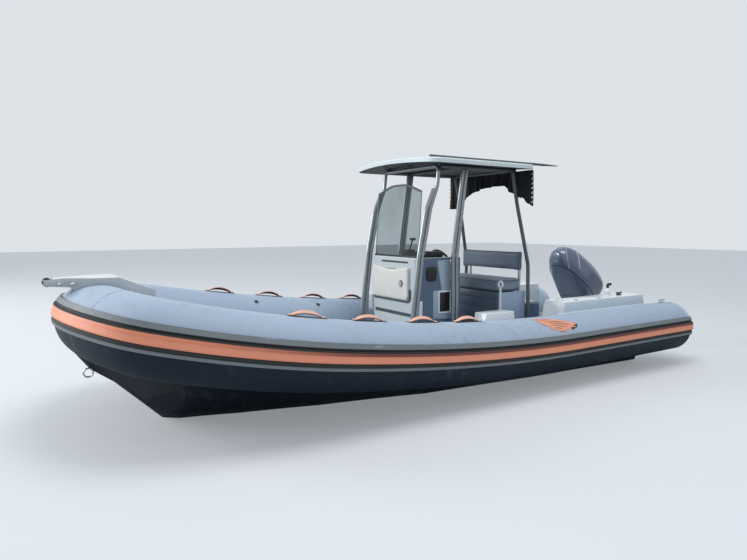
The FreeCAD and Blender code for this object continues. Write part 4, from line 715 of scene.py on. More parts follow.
def inset(shape, faces, inward, rise):
    """Draw a smaller outline inside flat faces, and lift or sink what it encloses."""
    bmesh.ops.inset_region(shape, faces=faces, thickness=inward, depth=rise, use_even_offset=True)


def raise_plate(shape, lift, edge_width, edge_rise):
    """Give a flat outline a thickness and a soft edge round its top."""
    lift = Vector(lift)
    grown = bmesh.ops.extrude_face_region(shape, geom=shape.faces[:])["geom"]
    bmesh.ops.translate(shape, vec=lift, verts=kept_kind(grown, bmesh.types.BMVert))
    bmesh.ops.recalc_face_normals(shape, faces=shape.faces)
    top = [face for face in shape.faces if face.normal.dot(lift.normalized()) > 0.9]
    inset(shape, top, edge_width, edge_rise)


print("pieces can be softened, cut and raised")

# %% [markdown]
# A sweep starts from a section, drawn as pairs across and up, and a list of placing matrices. Each
# matrix holds a point of the path and three directions there: along, across and up. The directions
# turn as little as possible from one point to the next, so that a strip doesn't twist.

# %% Sweep a section along a path
def round_section(radius, sides=12):
    return [(radius * math.cos(math.tau * k / sides), radius * math.sin(math.tau * k / sides))
            for k in range(sides)]


def box_section(width, height):
    across, up = width / 2, height / 2
    return [(-across, -up), (across, -up), (across, up), (-across, up)]


def sweep(shape, section, places, closed=False):
    """Carry a closed section through a list of placing matrices."""
    first = [shape.verts.new(places[0] @ Vector((0, across, up))) for across, up in section]
    edges = [shape.edges.new((a, b)) for a, b in zip(first, first[1:] + first[:1])]
    start_edges = edges
    for before, after in zip(places, places[1:]):
        grown = bmesh.ops.extrude_edge_only(shape, edges=edges)["geom"]
        ring = kept_kind(grown, bmesh.types.BMVert)
        edges = [edge for edge in kept_kind(grown, bmesh.types.BMEdge)
                 if edge.verts[0] in ring and edge.verts[1] in ring]
        bmesh.ops.transform(shape, matrix=after @ before.inverted(), verts=ring)
    if closed:
        bmesh.ops.bridge_loops(shape, edges=start_edges + edges)
    else:
        bmesh.ops.edgeloop_fill(shape, edges=start_edges)
        bmesh.ops.edgeloop_fill(shape, edges=edges)


def places_along(points, closed=False):
    """A placing matrix at each point of a path, turned as little as possible from one to the next."""
    points = [Vector(point) for point in points]
    count = len(points)
    tangents = []
    for k in range(count):
        after = points[(k + 1) % count] if closed or k < count - 1 else points[k]
        before = points[k - 1] if closed or k > 0 else points[k]
        tangents.append((after - before).normalized())
    guide = Vector((0, 0, 1)) if abs(tangents[0].z) < 0.9 else Vector((0, 1, 0))
    across = guide.cross(tangents[0]).normalized()
    places = []
    for point, tangent in zip(points, tangents):
        across = (across - tangent * across.dot(tangent)).normalized()
        up = tangent.cross(across)
        place = Matrix((tangent, across, up)).transposed().to_4x4()
        place.translation = point
        places.append(place)
    return places


def rounded_path(corners, bend, steps=5):
    """Straight runs between corners, with each corner rounded off."""
    corners = [Vector(corner) for corner in corners]
    path = [corners[0]]
    for before, corner, after in zip(corners, corners[1:], corners[2:]):
        reach = min(bend, (before - corner).length / 2, (after - corner).length / 2)
        start = corner + (before - corner).normalized() * reach
        end = corner + (after - corner).normalized() * reach
        for k in range(steps + 1):
            share = k / steps
            path.append(start.lerp(corner, share).lerp(corner.lerp(end, share), share))
    return path + [corners[-1]]


def swept_piece(name, section, runs, finish_name, closed=False, **more):
    """One piece, made of a section swept along each run of places."""
    shape = bmesh.new()
    for places in runs:
        sweep(shape, section, places, closed)
    return make_piece(shape, name, finish_name, **more)


print("sections can be swept")

# %% [markdown]
# Small fittings are mostly rounded blocks, low studs and discs with a raised rim. A placing matrix
# can also be made from a point and the direction that a fitting faces.

# %% Blocks, studs and discs
def block(shape, low, high, rounding, segments=3):
    """A rounded block between two corners, added to a bmesh."""
    low, high = Vector(low), Vector(high)
    made = bmesh.ops.create_cube(shape, size=1.0, matrix=Matrix.Translation((low + high) / 2)
                                 @ Matrix.Diagonal((*(high - low), 1.0)))["verts"]
    round_edges(shape, list({edge for vertex in made for edge in vertex.link_edges}), rounding, segments)


def stud(shape, place, radius, height, sides=14):
    """A low round head that stands on the X-Y plane of a placing matrix."""
    bmesh.ops.create_cone(shape, cap_ends=True, cap_tris=False, segments=sides, radius1=radius,
                          radius2=radius * 0.72, depth=height,
                          matrix=place @ Matrix.Translation((0, 0, height / 2)))


def facing_place(point, direction):
    """A placing matrix whose Z axis points in a direction."""
    place = Vector(direction).to_track_quat("Z", "Y").to_matrix().to_4x4()
    place.translation = Vector(point)
    return place


def rimmed_disc(shape, place, radii, height, sides, steps):
    """A round plate whose top is inset step by step, each step a width and a rise."""
    made = bmesh.ops.create_cone(shape, cap_ends=True, cap_tris=False, segments=sides, radius1=radii[0],
                                 radius2=radii[1], depth=height, matrix=place)["verts"]
    top = max({face for vertex in made for face in vertex.link_faces},
              key=lambda face: (place.inverted() @ face.calc_center_median()).z)
    for inward, rise in steps:
        inset(shape, [top], inward, rise)


print("fittings can be made")

# %% [markdown]
# The collar's centreline is needed again, to lay tapes, the dark under-panel and a flash on the
# tubes. It is the same path as the solid's: straight from the stern, a gentle lift, a leaning turn
# at the shoulder, and two arcs round the bow. A frame is carried along it, so that across always
# points away from the boat and up away from the water.

# %% Walk along the collar
TUBE_RADIUS = 0.300
COLLAR_START = Vector((-3.050, 1.095, 0.434))
STRAIGHT_RUN = 2.075
SHEER_RADIUS, SHEER_ANGLE = 19.989, math.radians(8)
SHOULDER_RADIUS, SHOULDER_ANGLE, SHOULDER_LIFT = 3.561, math.radians(20.5), math.radians(11)
CORNER_RADIUS, CORNER_HEADING = 0.363, math.radians(57.4)


def column(matrix, number):
    return matrix.col[number].to_3d()


def advance(place, length, radius=None, side=None):
    """Carry a frame along a straight run, or round an arc that turns towards a side."""
    tangent = column(place, 0)
    if radius is None:
        return Matrix.Translation(tangent * length) @ place
    centre = place.translation + side * radius
    turn = Matrix.Rotation(length / radius, 4, tangent.cross(side))
    return Matrix.Translation(centre) @ turn @ Matrix.Translation(-centre) @ place


def bow_side(forward, heading):
    """The inward direction in the bow's plane for a heading away from straight ahead."""
    return Vector((0, -1, 0)) * math.cos(heading) - forward * math.sin(heading)


def collar_runs():
    """The port half's runs: where each starts, its length, and its radius and side if it turns."""
    runs = []
    place = Matrix.Translation(COLLAR_START)

    def extend(length, radius=None, side=None):
        runs.append((place, length, radius, side))
        return advance(place, length, radius, side)

    place = extend(STRAIGHT_RUN)
    place = extend(SHEER_RADIUS * SHEER_ANGLE, SHEER_RADIUS, Vector((0, 0, 1)))
    lean = Vector((0, -1, 0)) * math.cos(SHOULDER_LIFT) + column(place, 2) * math.sin(SHOULDER_LIFT)
    place = extend(SHOULDER_RADIUS * SHOULDER_ANGLE, SHOULDER_RADIUS, lean)
    tangent = column(place, 0)
    forward = Vector((tangent.x, 0, tangent.z)).normalized()
    heading = math.atan2(-tangent.y, tangent.dot(forward))
    place = extend(CORNER_RADIUS * (CORNER_HEADING - heading), CORNER_RADIUS, bow_side(forward, heading))
    front = place.translation.y / math.cos(CORNER_HEADING)
    extend(front * (math.pi / 2 - CORNER_HEADING), front, bow_side(forward, CORNER_HEADING))
    return runs


COLLAR_RUNS = collar_runs()
HALF_COLLAR = sum(length for place, length, radius, side in COLLAR_RUNS)
print("collar, stern to stern:", round(2 * HALF_COLLAR, 2), "m")

# %% [markdown]
# The path is known for the port half only. Past the bow the same frames are mirrored to starboard,
# so one distance, counted from the port stern, names any place on the collar. With an angle from
# the tube's equator it names any place on the fabric.

# %% Places on the tube
SIDES = ((1, "port"), (-1, "starboard"))
MIRROR = Matrix.Diagonal((1, -1, 1, 1))
TURN_BACK = Matrix.Diagonal((-1, 1, 1, 1))


def collar_place(distance):
    """The frame on the centreline at a distance from the port stern, also past the bow."""
    if distance > HALF_COLLAR:
        return MIRROR @ collar_place(2 * HALF_COLLAR - distance) @ TURN_BACK
    for place, length, radius, side in COLLAR_RUNS[:-1]:
        if distance <= length:
            return advance(place, distance, radius, side)
        distance -= length
    place, length, radius, side = COLLAR_RUNS[-1]
    return advance(place, distance, radius, side)


def on_tube(distance, angle, proud=0.0):
    """A point of the tube's skin. The angle is from the equator towards the top, in degrees."""
    reach = TUBE_RADIUS + proud
    turn = math.radians(angle)
    return collar_place(distance) @ Vector((0, reach * math.cos(turn), reach * math.sin(turn)))


def collar_stops(start, end):
    """Distances along the collar, closer together where it turns sharply."""
    stops, here = [start], start
    while here < end - 0.001:
        from_bow = abs(here - HALF_COLLAR)
        step = 0.10 if from_bow > 2.2 else 0.06
        if from_bow < 0.93:
            step = 0.014 if from_bow > 0.58 else 0.03
        here = min(end, here + step)
        stops.append(here)
    return stops


def arc_section(low, high, inner, outer, steps):
    """A strip of the tube's skin as a closed section, between two angles and two radii."""
    turns = [math.radians(low + (high - low) * k / steps) for k in range(steps + 1)]
    outside = [(outer * math.cos(turn), outer * math.sin(turn)) for turn in turns]
    inside = [(inner * math.cos(turn), inner * math.sin(turn)) for turn in reversed(turns)]
    return outside + inside


print("top of the tube amidships:", [round(value, 2) for value in on_tube(3.0, 90)])

# %% [markdown]
# The dark under-panel is painted shade over the tubes below the strake. It could be a second colour
# in the tube's own shader, but its edge follows the strake round the bow, so a thin swept skin is
# simpler. The same sweep lays the strake's strips of painted shade: a black upper edge and groove, a
# dark channel below, and a deeper red between.

# %% Under-panel and strake strips
SHADE_PANEL_LOW, SHADE_PANEL_HIGH = -97, -14.6
PANEL_THICKNESS = 0.0035
TAPE_THICKNESS = 0.0016
STERN_STRETCH = 0.05


def stern_to_stern():
    """Frames for a sweep along the whole collar, from one stern end to the other."""
    port_end = Matrix.Translation((-STERN_STRETCH, 0, 0)) @ collar_place(0)
    starboard_end = Matrix.Translation((-STERN_STRETCH, 0, 0)) @ collar_place(2 * HALF_COLLAR)
    middle = [collar_place(stop) for stop in collar_stops(0, 2 * HALF_COLLAR)]
    return [port_end] + middle + [starboard_end]


def make_painted_shade_panel():
    section = arc_section(SHADE_PANEL_LOW, SHADE_PANEL_HIGH, TUBE_RADIUS - 0.0005, TUBE_RADIUS + PANEL_THICKNESS, 26)
    return swept_piece("tube_painted_shade_panel", section, [stern_to_stern()], "tube_painted_shade", slot="tube_fabric")


# The black upper edge and groove and the dark lower channel are painted shade on the strake.
# Outlines of the strips: distance round the tube from its equator and height above its skin, in metres.
UPPER_EDGE_SHADOW = [(0.0676, 0.0325), (0.0795, 0.0262), (0.0825, 0.0165), (0.0965, 0.0165), (0.0965, 0.0040),
              (0.0800, 0.0040), (0.0750, 0.0230), (0.0676, 0.0285)]
LOWER_CHANNEL_SHADE = [(-0.0150, 0.0150), (-0.0150, 0.0040), (-0.0435, 0.0040), (-0.0435, 0.0150)]
# The band's upper slope carries painted shade, a deeper red.
BAND_SLOPE_SHADE = [(0.0460, 0.0315), (0.0680, 0.0315), (0.0680, 0.0290), (0.0460, 0.0290)]
STRIPS = [
    # name, outline, finish, material slot
    ("strake_edge_upper_shadow", UPPER_EDGE_SHADOW, "strake_groove", "nylon"),
    ("strake_channel_lower_shade", LOWER_CHANNEL_SHADE, "strake_channel", "nylon"),
    ("strake_band_painted_shade", BAND_SLOPE_SHADE, "strake_slope_shade", "strake_light"),
]


def make_strips():
    """Painted shade on the strake: the band's black upper edge and groove, its dark lower channel, and the
    deeper red along its upper slope.
    """
    for name, outline, finish_name, slot in STRIPS:
        section = []
        for reach, proud in outline:
            turn = reach / TUBE_RADIUS
            section.append(((TUBE_RADIUS + proud) * math.cos(turn), (TUBE_RADIUS + proud) * math.sin(turn)))
        swept_piece(name, section, [stern_to_stern()], finish_name, slot=slot)


painted_shade_panel = make_painted_shade_panel()
make_strips()
print("under-panel faces:", len(painted_shade_panel.data.polygons))

# %% [markdown]
# Fabric tubes are joined with tapes. A tape is a low flat strip, swept round the tube instead of
# along it. A patch that has to lie on the curve is drawn flat, cut into narrow strips so that it can
# bend, and then wrapped: one axis runs along the collar and the other round the tube.

# %% Tapes and patches
PATCH_STRIP = 0.06
GLUE_LINE = 0.0003
TAPES = [
    # name, distance along the collar, first and last angle, width in metres
    ("bow_chamber_tape", 6.62, 28, 165, 0.028),
    ("side_chamber_tape", 3.98, 28, 150, 0.028),
    ("stern_cap_tape", 0.02, 28, 200, 0.040),
]


def tape_round(name, distance, low, high, width):
    """A strip round the tube at one distance along the collar."""
    centre = collar_place(distance)
    lay = Matrix(((0, 1, 0, 0), (0, 0, 1, TUBE_RADIUS + TAPE_THICKNESS / 2), (1, 0, 0, 0), (0, 0, 0, 1)))
    places = []
    for k in range(25):
        turn = Matrix.Rotation(math.radians(low + (high - low) * k / 24), 4, "X")
        places.append(centre @ turn @ lay)
    swept_piece(name, box_section(width, TAPE_THICKNESS), [places], "tube_fabric")


def wrapped_patch(name, outline, finish_name, slot, thickness, strips=0.02, side=1):
    """A flat outline, in metres along the collar and degrees round it, laid on the tube."""
    shape = bmesh.new()
    points = [shape.verts.new((distance, math.radians(angle) * TUBE_RADIUS, 0))
              for distance, angle in outline]
    cuts = []
    for axis, step in ((Vector((0, 1, 0)), strips), (Vector((1, 0, 0)), PATCH_STRIP)):
        reach = [point.co.dot(axis) for point in points]
        cuts.append((axis, step, min(reach), max(reach)))
    bmesh.ops.triangulate(shape, faces=[shape.faces.new(points)])
    for axis, step, start, end in cuts:
        cut = start + step
        while cut < end:
            slice_through(shape, axis * cut, axis)
            cut += step
    bmesh.ops.solidify(shape, geom=shape.faces, thickness=thickness)
    lowest = min(vertex.co.z for vertex in shape.verts)
    for vertex in shape.verts:
        proud = vertex.co.z - lowest + GLUE_LINE
        point = on_tube(vertex.co.x, math.degrees(vertex.co.y / TUBE_RADIUS), proud)
        vertex.co = (point.x, point.y * side, point.z)
    make_piece(shape, name, finish_name, slot=slot)


for name, distance, low, high, width in TAPES:
    tape_round(f"{name}_port", distance, low, high, width)
    tape_round(f"{name}_starboard", 2 * HALF_COLLAR - distance, low, high, width)
print("tapes:", 2 * len(TAPES))

# %% [markdown]
# Each side carries an orange flash near the helm, a ragged leaf cut from film. Its outline and its
# veins are points on the tube, each a distance and an angle. A dark leaf lies under it, a little
# larger, and shows as an edge. The veins are tapered strokes.

# %% The flash
FLASH_LEAF = [(2.57, 79), (2.46, 80), (2.44, 76), (2.34, 76), (2.32, 71), (2.23, 70), (2.20, 65),
              (2.13, 62), (2.09, 56), (2.03, 54), (2.00, 49), (2.08, 47), (2.03, 42), (2.13, 43),
              (2.12, 37), (2.20, 41), (2.23, 35), (2.27, 41), (2.32, 37), (2.35, 43), (2.42, 43),
              (2.41, 50), (2.48, 54), (2.46, 60), (2.52, 66), (2.50, 72)]
FLASH_VEINS = [
    # start and end, each a distance and an angle, and half the width in metres
    (2.52, 76, 2.31, 70, 0.0040),
    (2.48, 71, 2.14, 56, 0.0050),
    (2.44, 63, 2.10, 49, 0.0050),
    (2.40, 56, 2.17, 45, 0.0045),
    (2.37, 49, 2.26, 42, 0.0040),
]
FLASH_EDGE = 1.02
STROKE_SHAPE = [(0.0, 0.0), (0.10, 0.45), (0.34, 0.75), (0.62, 1.0), (0.80, 0.8), (1.0, 0.0)]


def stroke_outline(start_distance, start_angle, end_distance, end_angle, half):
    """A stroke of a brush, thin at its start, thick past its middle and pointed at its end."""
    start = Vector((start_distance, math.radians(start_angle) * TUBE_RADIUS))
    end = Vector((end_distance, math.radians(end_angle) * TUBE_RADIUS))
    along = (end - start).normalized()
    across = Vector((-along.y, along.x))
    upper = [start.lerp(end, share) + across * half * width for share, width in STROKE_SHAPE]
    lower = [start.lerp(end, share) - across * half * 0.7 * width
             for share, width in reversed(STROKE_SHAPE[1:-1])]
    return [(point.x, math.degrees(point.y / TUBE_RADIUS)) for point in upper + lower]


def enlarged(outline, factor):
    """The same outline, larger about its middle."""
    middle = [sum(values) / len(outline) for values in zip(*outline)]
    return [tuple(centre + (value - centre) * factor for value, centre in zip(point, middle))
            for point in outline]


for side, hand in SIDES:
    wrapped_patch(f"flash_edge_{hand}", enlarged(FLASH_LEAF, FLASH_EDGE), "flash_dark", "nylon", 0.0010,
                  side=side)
    wrapped_patch(f"flash_{hand}", FLASH_LEAF, "flash_orange", "handle_orange", 0.0018, side=side)
    for number, vein in enumerate(FLASH_VEINS):
        wrapped_patch(f"flash_vein_{hand}_{number}", stroke_outline(*vein), "flash_dark", "nylon", 0.0026,
                      side=side)
print("a flash on each side, with", len(FLASH_VEINS), "veins")

# %% [markdown]
# Each grab handle is a moulded rubber band on a dark pad. It rises from two flat feet into a low
# arch, and there it leans outwards, so that its broad side shows from the water. The section is a
# rounded rectangle, carried along the arch and tilted on the way. A black lining of painted shade
# lies under it.

# %% Handles and their pads
HANDLE_PLACES = [5.13, 4.53, 3.94, 3.39]
PAD_HALF_LENGTH = 0.178
PAD_HALF_ANGLE = 6.5
ARCH_HALF, ARCH_HEIGHT, ARCH_LEAN = 0.160, 0.034, math.radians(38)
BAND_SECTION = [(-0.016, -0.005), (0.016, -0.005), (0.019, -0.002), (0.019, 0.003), (0.016, 0.006),
                (-0.016, 0.006), (-0.019, 0.003), (-0.019, -0.002)]
SHADE_LINING_SECTION = [(-0.015, -0.0085), (0.0175, -0.0085), (0.0175, -0.0045), (-0.015, -0.0045)]


def rounded_outline(distance, angle, half_length, half_angle):
    """An outline with clipped corners round one point of the tube."""
    corner = 0.4
    points = []
    for across, along in ((1, 1), (1, -1), (-1, -1), (-1, 1)):
        near = (distance + along * half_length * (1 - corner / 4), angle + across * half_angle)
        far = (distance + along * half_length, angle + across * half_angle * (1 - corner))
        points += [near, far] if across * along > 0 else [far, near]
    return points


def arch_places(distance, side):
    """Frames along one handle's arch: level on its feet and leaning outwards between them."""
    places = []
    for k in range(25):
        share = 2 * k / 24 - 1
        rise = max(0.0, 1 - (share / 0.80) ** 2) ** 0.7
        centre = collar_place(distance + share * ARCH_HALF)
        centre.translation += column(centre, 2) * (TUBE_RADIUS + 0.0085 + ARCH_HEIGHT * rise)
        leaning = centre @ Matrix.Rotation(-ARCH_LEAN * rise, 4, "X")
        places.append(leaning if side > 0 else MIRROR @ leaning)
    return places


def make_handles(side, hand):
    for name, section, finish_name, node in (
            ("handle_bands", BAND_SECTION, "handle_orange", (f"handles_{hand}",)),
            ("handle_shade_linings", SHADE_LINING_SECTION, "black_plastic", ())):
        runs = [arch_places(distance, side) for distance in HANDLE_PLACES]
        swept_piece(f"{name}_{hand}", section, runs, finish_name, stands_for=node)


for side, hand in SIDES:
    for number, distance in enumerate(HANDLE_PLACES):
        pad = rounded_outline(distance, 90, PAD_HALF_LENGTH, PAD_HALF_ANGLE)
        wrapped_patch(f"handle_pad_{hand}_{number}", pad, "black_plastic", "black_plastic", 0.0022, 0.015,
                      side)
    make_handles(side, hand)
print("handles, each on a pad:", 2 * len(HANDLE_PLACES))

# %% [markdown]
# The boat's mouldings have no sharp edges. Each is the CAD shape with its edges rounded by the
# radius that a mould would leave.

# %% Soften the mouldings
SOFTENED = [
    # node, finish, rounding in metres
    ("bow_nose", "nose", 0.006), ("stern_box_port", "stern_box", 0.012),
    ("stern_box_starboard", "stern_box", 0.012), ("side_steps", "moulding_white", 0.010),
    ("aft_box", "moulding_dark", 0.004), ("seat_base", "seat_base", 0.0025),
    ("leg_brackets", "moulding_white", 0.003), ("side_hatch_frame", "moulding_white", 0.003),
    ("side_hatch_panel", "black_plastic", 0.002), ("console_vent", "black_plastic", 0.006),
    ("throttle", "black_plastic", 0.004), ("instrument_panel", "black_plastic", 0.003),
    ("clamp_bracket", "engine_grey", 0.003), ("box_vent", "moulding_white", 0.003),
]
for node, finish_name, rounding in SOFTENED:
    soften(node, f"{node}_moulded", finish_name, rounding)
print("softened mouldings:", len(SOFTENED))

# %% [markdown]
# The console's front has a padded-looking hatch door: a moulding whose top edge dips and whose face
# is crowned. Its outline is four arcs and a gentle curve. The crown comes from cutting the finished
# slab into strips both ways and moving each point of its face forwards, most in the middle.

# %% The door's outline and crown
DOOR_LEFT, DOOR_RIGHT, DOOR_LOW, DOOR_HIGH = 0.300, -0.380, 0.905, 1.255
DOOR_BACK, DOOR_FACE = 0.4225, 0.446
DOOR_HOLLOW = 0.030
DOOR_CROWN = 0.009
HINGE_LEVELS = [(0.960, 1.050), (1.110, 1.200)]


def corner_arc(centre, radius, start, steps=5):
    """Points of a quarter circle, from a starting angle in degrees."""
    return [(centre[0] + radius * math.cos(math.radians(start + 90 * k / steps)),
             centre[1] + radius * math.sin(math.radians(start + 90 * k / steps))) for k in range(steps + 1)]


def door_outline():
    """Rounded corners and a top edge that dips in the middle."""
    small, large = 0.022, 0.050
    points = corner_arc((DOOR_LEFT - small, DOOR_HIGH - small), small, 0)
    width = DOOR_LEFT - DOOR_RIGHT
    for k in range(1, 12):
        share = k / 12
        points.append((DOOR_LEFT - small - share * (width - 2 * small),
                       DOOR_HIGH - DOOR_HOLLOW * math.sin(math.pi * share)))
    points += corner_arc((DOOR_RIGHT + small, DOOR_HIGH - small), small, 90)
    points += corner_arc((DOOR_RIGHT + large, DOOR_LOW + large), large, 180)
    points += corner_arc((DOOR_LEFT - large, DOOR_LOW + large), large, 270)
    return points


def crown_door(shape):
    """Cut the door into strips both ways and let its middle stand out a little."""
    middle = Vector((DOOR_FACE, (DOOR_LEFT + DOOR_RIGHT) / 2, (DOOR_LOW + DOOR_HIGH) / 2))
    half = Vector((0, (DOOR_LEFT - DOOR_RIGHT) / 2, (DOOR_HIGH - DOOR_LOW) / 2))
    for axis, count in ((1, 16), (2, 10)):
        normal = Vector((0, axis == 1, axis == 2))
        for k in range(1, count):
            point = middle + normal * half[axis] * (2 * k / count - 1)
            slice_through(shape, point, normal)
    for vertex in shape.verts:
        if vertex.co.x > DOOR_FACE + 0.006:
            across = (vertex.co.y - middle.y) / half.y
            up = (vertex.co.z - middle.z) / half.z
            vertex.co.x += DOOR_CROWN * (1 - across ** 2) * (1 - up ** 2)


print("the door is", round(DOOR_LEFT - DOOR_RIGHT, 2), "by", round(DOOR_HIGH - DOOR_LOW, 2), "m")

# %% [markdown]
# The outline becomes a face, and the face a slab: a copy turned round is its back, and the front is
# drawn forwards. Three insets, each a little higher, round its edge. The hinge barrels belong to the
# door and swing with it. A dark cup surrounds the latch.

# %% Build the door
BARREL_RADIUS = 0.007
DOOR_STEPS = ((0.003, 0.0035), (0.005, 0.003), (0.007, 0.0015))


def add_hinges(shape):
    """A barrel and a leaf at each hinge."""
    for low, high in HINGE_LEVELS:
        barrel = Matrix.Translation((DOOR_BACK + BARREL_RADIUS, DOOR_RIGHT - 0.008, (low + high) / 2))
        bmesh.ops.create_cone(shape, cap_ends=True, segments=16, radius1=BARREL_RADIUS,
                              radius2=BARREL_RADIUS, depth=high - low, matrix=barrel)
        block(shape, (DOOR_BACK + 0.002, DOOR_RIGHT - 0.008, low),
              (DOOR_BACK + 0.006, DOOR_RIGHT + 0.02, high), 0.0008, 1)


def make_door():
    shape = bmesh.new()
    face = flat_face(shape, [(DOOR_BACK, across, up) for across, up in door_outline()])
    face.normal_update()
    if face.normal.x < 0:
        face.normal_flip()
    back = shape.faces[:]
    bmesh.ops.duplicate(shape, geom=back)
    bmesh.ops.reverse_faces(shape, faces=back)
    front = [item for item in shape.faces if item not in back]
    grown = bmesh.ops.extrude_face_region(shape, geom=front)["geom"]
    bmesh.ops.delete(shape, geom=front, context="FACES_ONLY")
    front = kept_kind(grown, bmesh.types.BMFace)
    bmesh.ops.translate(shape, vec=(DOOR_FACE - DOOR_BACK, 0, 0), verts=kept_kind(grown, bmesh.types.BMVert))
    for inward, rise in DOOR_STEPS:
        inset(shape, front, inward, rise)
    crown_door(shape)
    add_hinges(shape)
    return make_piece(shape, "console_door_moulded", "door_white", "door", "moulding_white",
                      ("console_door",))


def make_latch_cup():
    """A dark hollow round the latch."""
    shape = bmesh.new()
    cup = facing_place((DOOR_FACE + 0.0120, 0.190, 1.080), (1, 0, 0))
    rimmed_disc(shape, cup, (0.038, 0.036), 0.006, 28, ((0.006, 0.0), (0.004, -0.0025)))
    make_piece(shape, "door_latch_cup", "dark_trim", "door", "black_plastic")


door = make_door()
make_latch_cup()
print("door faces:", len(door.data.polygons))

# %% [markdown]
# Around the door the console carries small mouldings and painted shadow: a dark strip of painted
# shadow that follows the door's lower corners, a slot above it, and a dark strip of painted shadow
# near the floor. The sides have a raised panel towards the stern, in a paler grey that is painted
# light, whose front edge steps forward half way down. It is one outline, given a thickness and a
# soft edge.

# %% Console mouldings
CONSOLE_FACE, CONSOLE_SIDE = 0.4222, 0.417
CONSOLE_STRIPS = [
    # name, finish, lowest corner, highest corner, rounding in metres
    ("door_slot", "black_plastic", (CONSOLE_FACE - 0.004, -0.232, 1.297),
     (CONSOLE_FACE + 0.002, 0.268, 1.316), 0.0015),
    # A dark strip of painted shadow under the lower panel's edge.
    ("kick_panel_shadow", "dark_trim", (CONSOLE_FACE - 0.004, -0.360, 0.727),
     (CONSOLE_FACE + 0.002, 0.366, 0.765), 0.0015),
    ("instrument_cover", "black_plastic", (0.010, 0.085, 1.3602), (0.215, 0.372, 1.418), 0.024),
    ("dash_tray", "black_plastic", (0.030, -0.180, 1.3602), (0.190, 0.060, 1.374), 0.006),
]
SIDE_PANEL_LIT = [(-0.150, 1.338), (0.147, 1.326), (0.081, 1.008), (0.197, 1.000), (0.194, 0.700),
              (-0.150, 0.685)]


# The panel's paler grey is painted light; its front edge follows where shadow ends on the console's side.
def make_lit_side_panel(side, hand):
    shape = bmesh.new()
    level = side * (CONSOLE_SIDE + 0.0005)
    flat_face(shape, [(ahead, level, up) for ahead, up in SIDE_PANEL_LIT])
    bmesh.ops.bevel(shape, geom=shape.verts[:], offset=0.014, offset_type="OFFSET", segments=4, profile=0.5,
                    affect="VERTICES", material=-1)
    raise_plate(shape, (0, side * 0.0035, 0), 0.003, 0.0015)
    make_piece(shape, f"console_side_panel_{hand}", "side_panel", slot="moulding_blue")


def make_door_shadow():
    """A dark strip of painted shadow round the door's foot, from the latch side to the hinge side."""
    corners = [(0.316, 1.020), (0.316, 0.884), (-0.372, 0.884), (-0.372, 0.935)]
    path = [Vector((CONSOLE_FACE + 0.002, across, up)) for across, up in corners]
    swept_piece("door_foot_shadow", box_section(0.012, 0.022), [places_along(rounded_path(path, 0.060))],
                "dark_trim", slot="black_plastic")


make_door_shadow()
for name, finish_name, low, high, rounding in CONSOLE_STRIPS:
    shape = bmesh.new()
    block(shape, low, high, rounding)
    make_piece(shape, name, finish_name, slot="black_plastic")
for side, hand in SIDES:
    make_lit_side_panel(side, hand)
print("console strips:", len(CONSOLE_STRIPS), "and two side panels")

# %% [markdown]
# The helm faces aft, so its dials show from behind the boat. Each dial is a steel bezel round a
# pale face with plain ticks and a needle, and a row of rocker switches lies beside them. Everything
# is built once, lying flat, and a placing matrix leans it back with the dash.

# %% Dials and switches
DASH_PLACE = facing_place((-0.089, 0, 1.290), (-0.898, 0, 0.440))
DIALS = [(-0.165, 0.046), (-0.055, 0.036), (0.045, 0.036)]
SWITCHES = [0.115 + 0.028 * k for k in range(5)]
BEZEL_STEPS = ((0.003, 0.0018), (0.003, -0.0048))


def on_dash(across, up, proud=0.0):
    """A place on the dash, measured across the boat and up its slope."""
    return DASH_PLACE @ Matrix.Translation((across, up, proud))


def dial_bar(shape, across, proud, turn, reach, size):
    """A thin bar on a dial, turned about the dial's middle."""
    bmesh.ops.create_cube(shape, size=1.0, matrix=on_dash(across, 0, proud) @ Matrix.Rotation(turn, 4, "Z")
                          @ Matrix.Translation((0, reach, 0)) @ Matrix.Diagonal((*size, 1)))


def make_dials():
    bezels, faces, marks = bmesh.new(), bmesh.new(), bmesh.new()
    for across, radius in DIALS:
        rimmed_disc(bezels, on_dash(across, 0, 0.004), (radius, radius), 0.012, 32, BEZEL_STEPS)
        bmesh.ops.create_circle(faces, cap_ends=True, segments=32, radius=radius - 0.006,
                                matrix=on_dash(across, 0, 0.0088))
        for k in range(11):
            dial_bar(marks, across, 0.0094, math.radians(-130 + 26 * k), radius * 0.70,
                     (0.0014, radius * 0.16, 0.0008))
        dial_bar(marks, across, 0.0098, math.radians(52), radius * 0.26, (0.0018, radius * 0.66, 0.0008))
    for across in SWITCHES:
        tilted = on_dash(across, 0, 0.003) @ Matrix.Rotation(0.16, 4, "X")
        made = bmesh.ops.create_cube(marks, size=1.0,
                                     matrix=tilted @ Matrix.Diagonal((0.016, 0.034, 0.010, 1)))["verts"]
        round_edges(marks, list({edge for vertex in made for edge in vertex.link_edges}), 0.0015, 2)
    make_piece(bezels, "dial_bezels", "stainless")
    make_piece(faces, "dial_faces", "dial_face", slot="moulding_white", flip=False)
    make_piece(marks, "dial_marks_and_switches", "black_plastic")


make_dials()
print("dials:", len(DIALS), "switches:", len(SWITCHES))

# %% [markdown]
# The windscreen is a clear sheet, so only its edges tell the eye that it is there: a dark rubber
# trim along the top, bare polished edges at the sides, and a moulding at its foot.

# %% Windscreen trim
SCREEN_FOOT, SCREEN_HEAD = Vector((0.388, 0, 1.360)), Vector((0.343, 0, 2.135))
SCREEN_HALF, SCREEN_EDGE, SCREEN_RIDGE = 0.400, 2.050, 0.140


def on_screen(across, up):
    """A point in the middle of the screen's thickness."""
    share = (up - SCREEN_FOOT.z) / (SCREEN_HEAD.z - SCREEN_FOOT.z)
    point = SCREEN_FOOT.lerp(SCREEN_HEAD, share)
    return Vector((point.x, across, up))


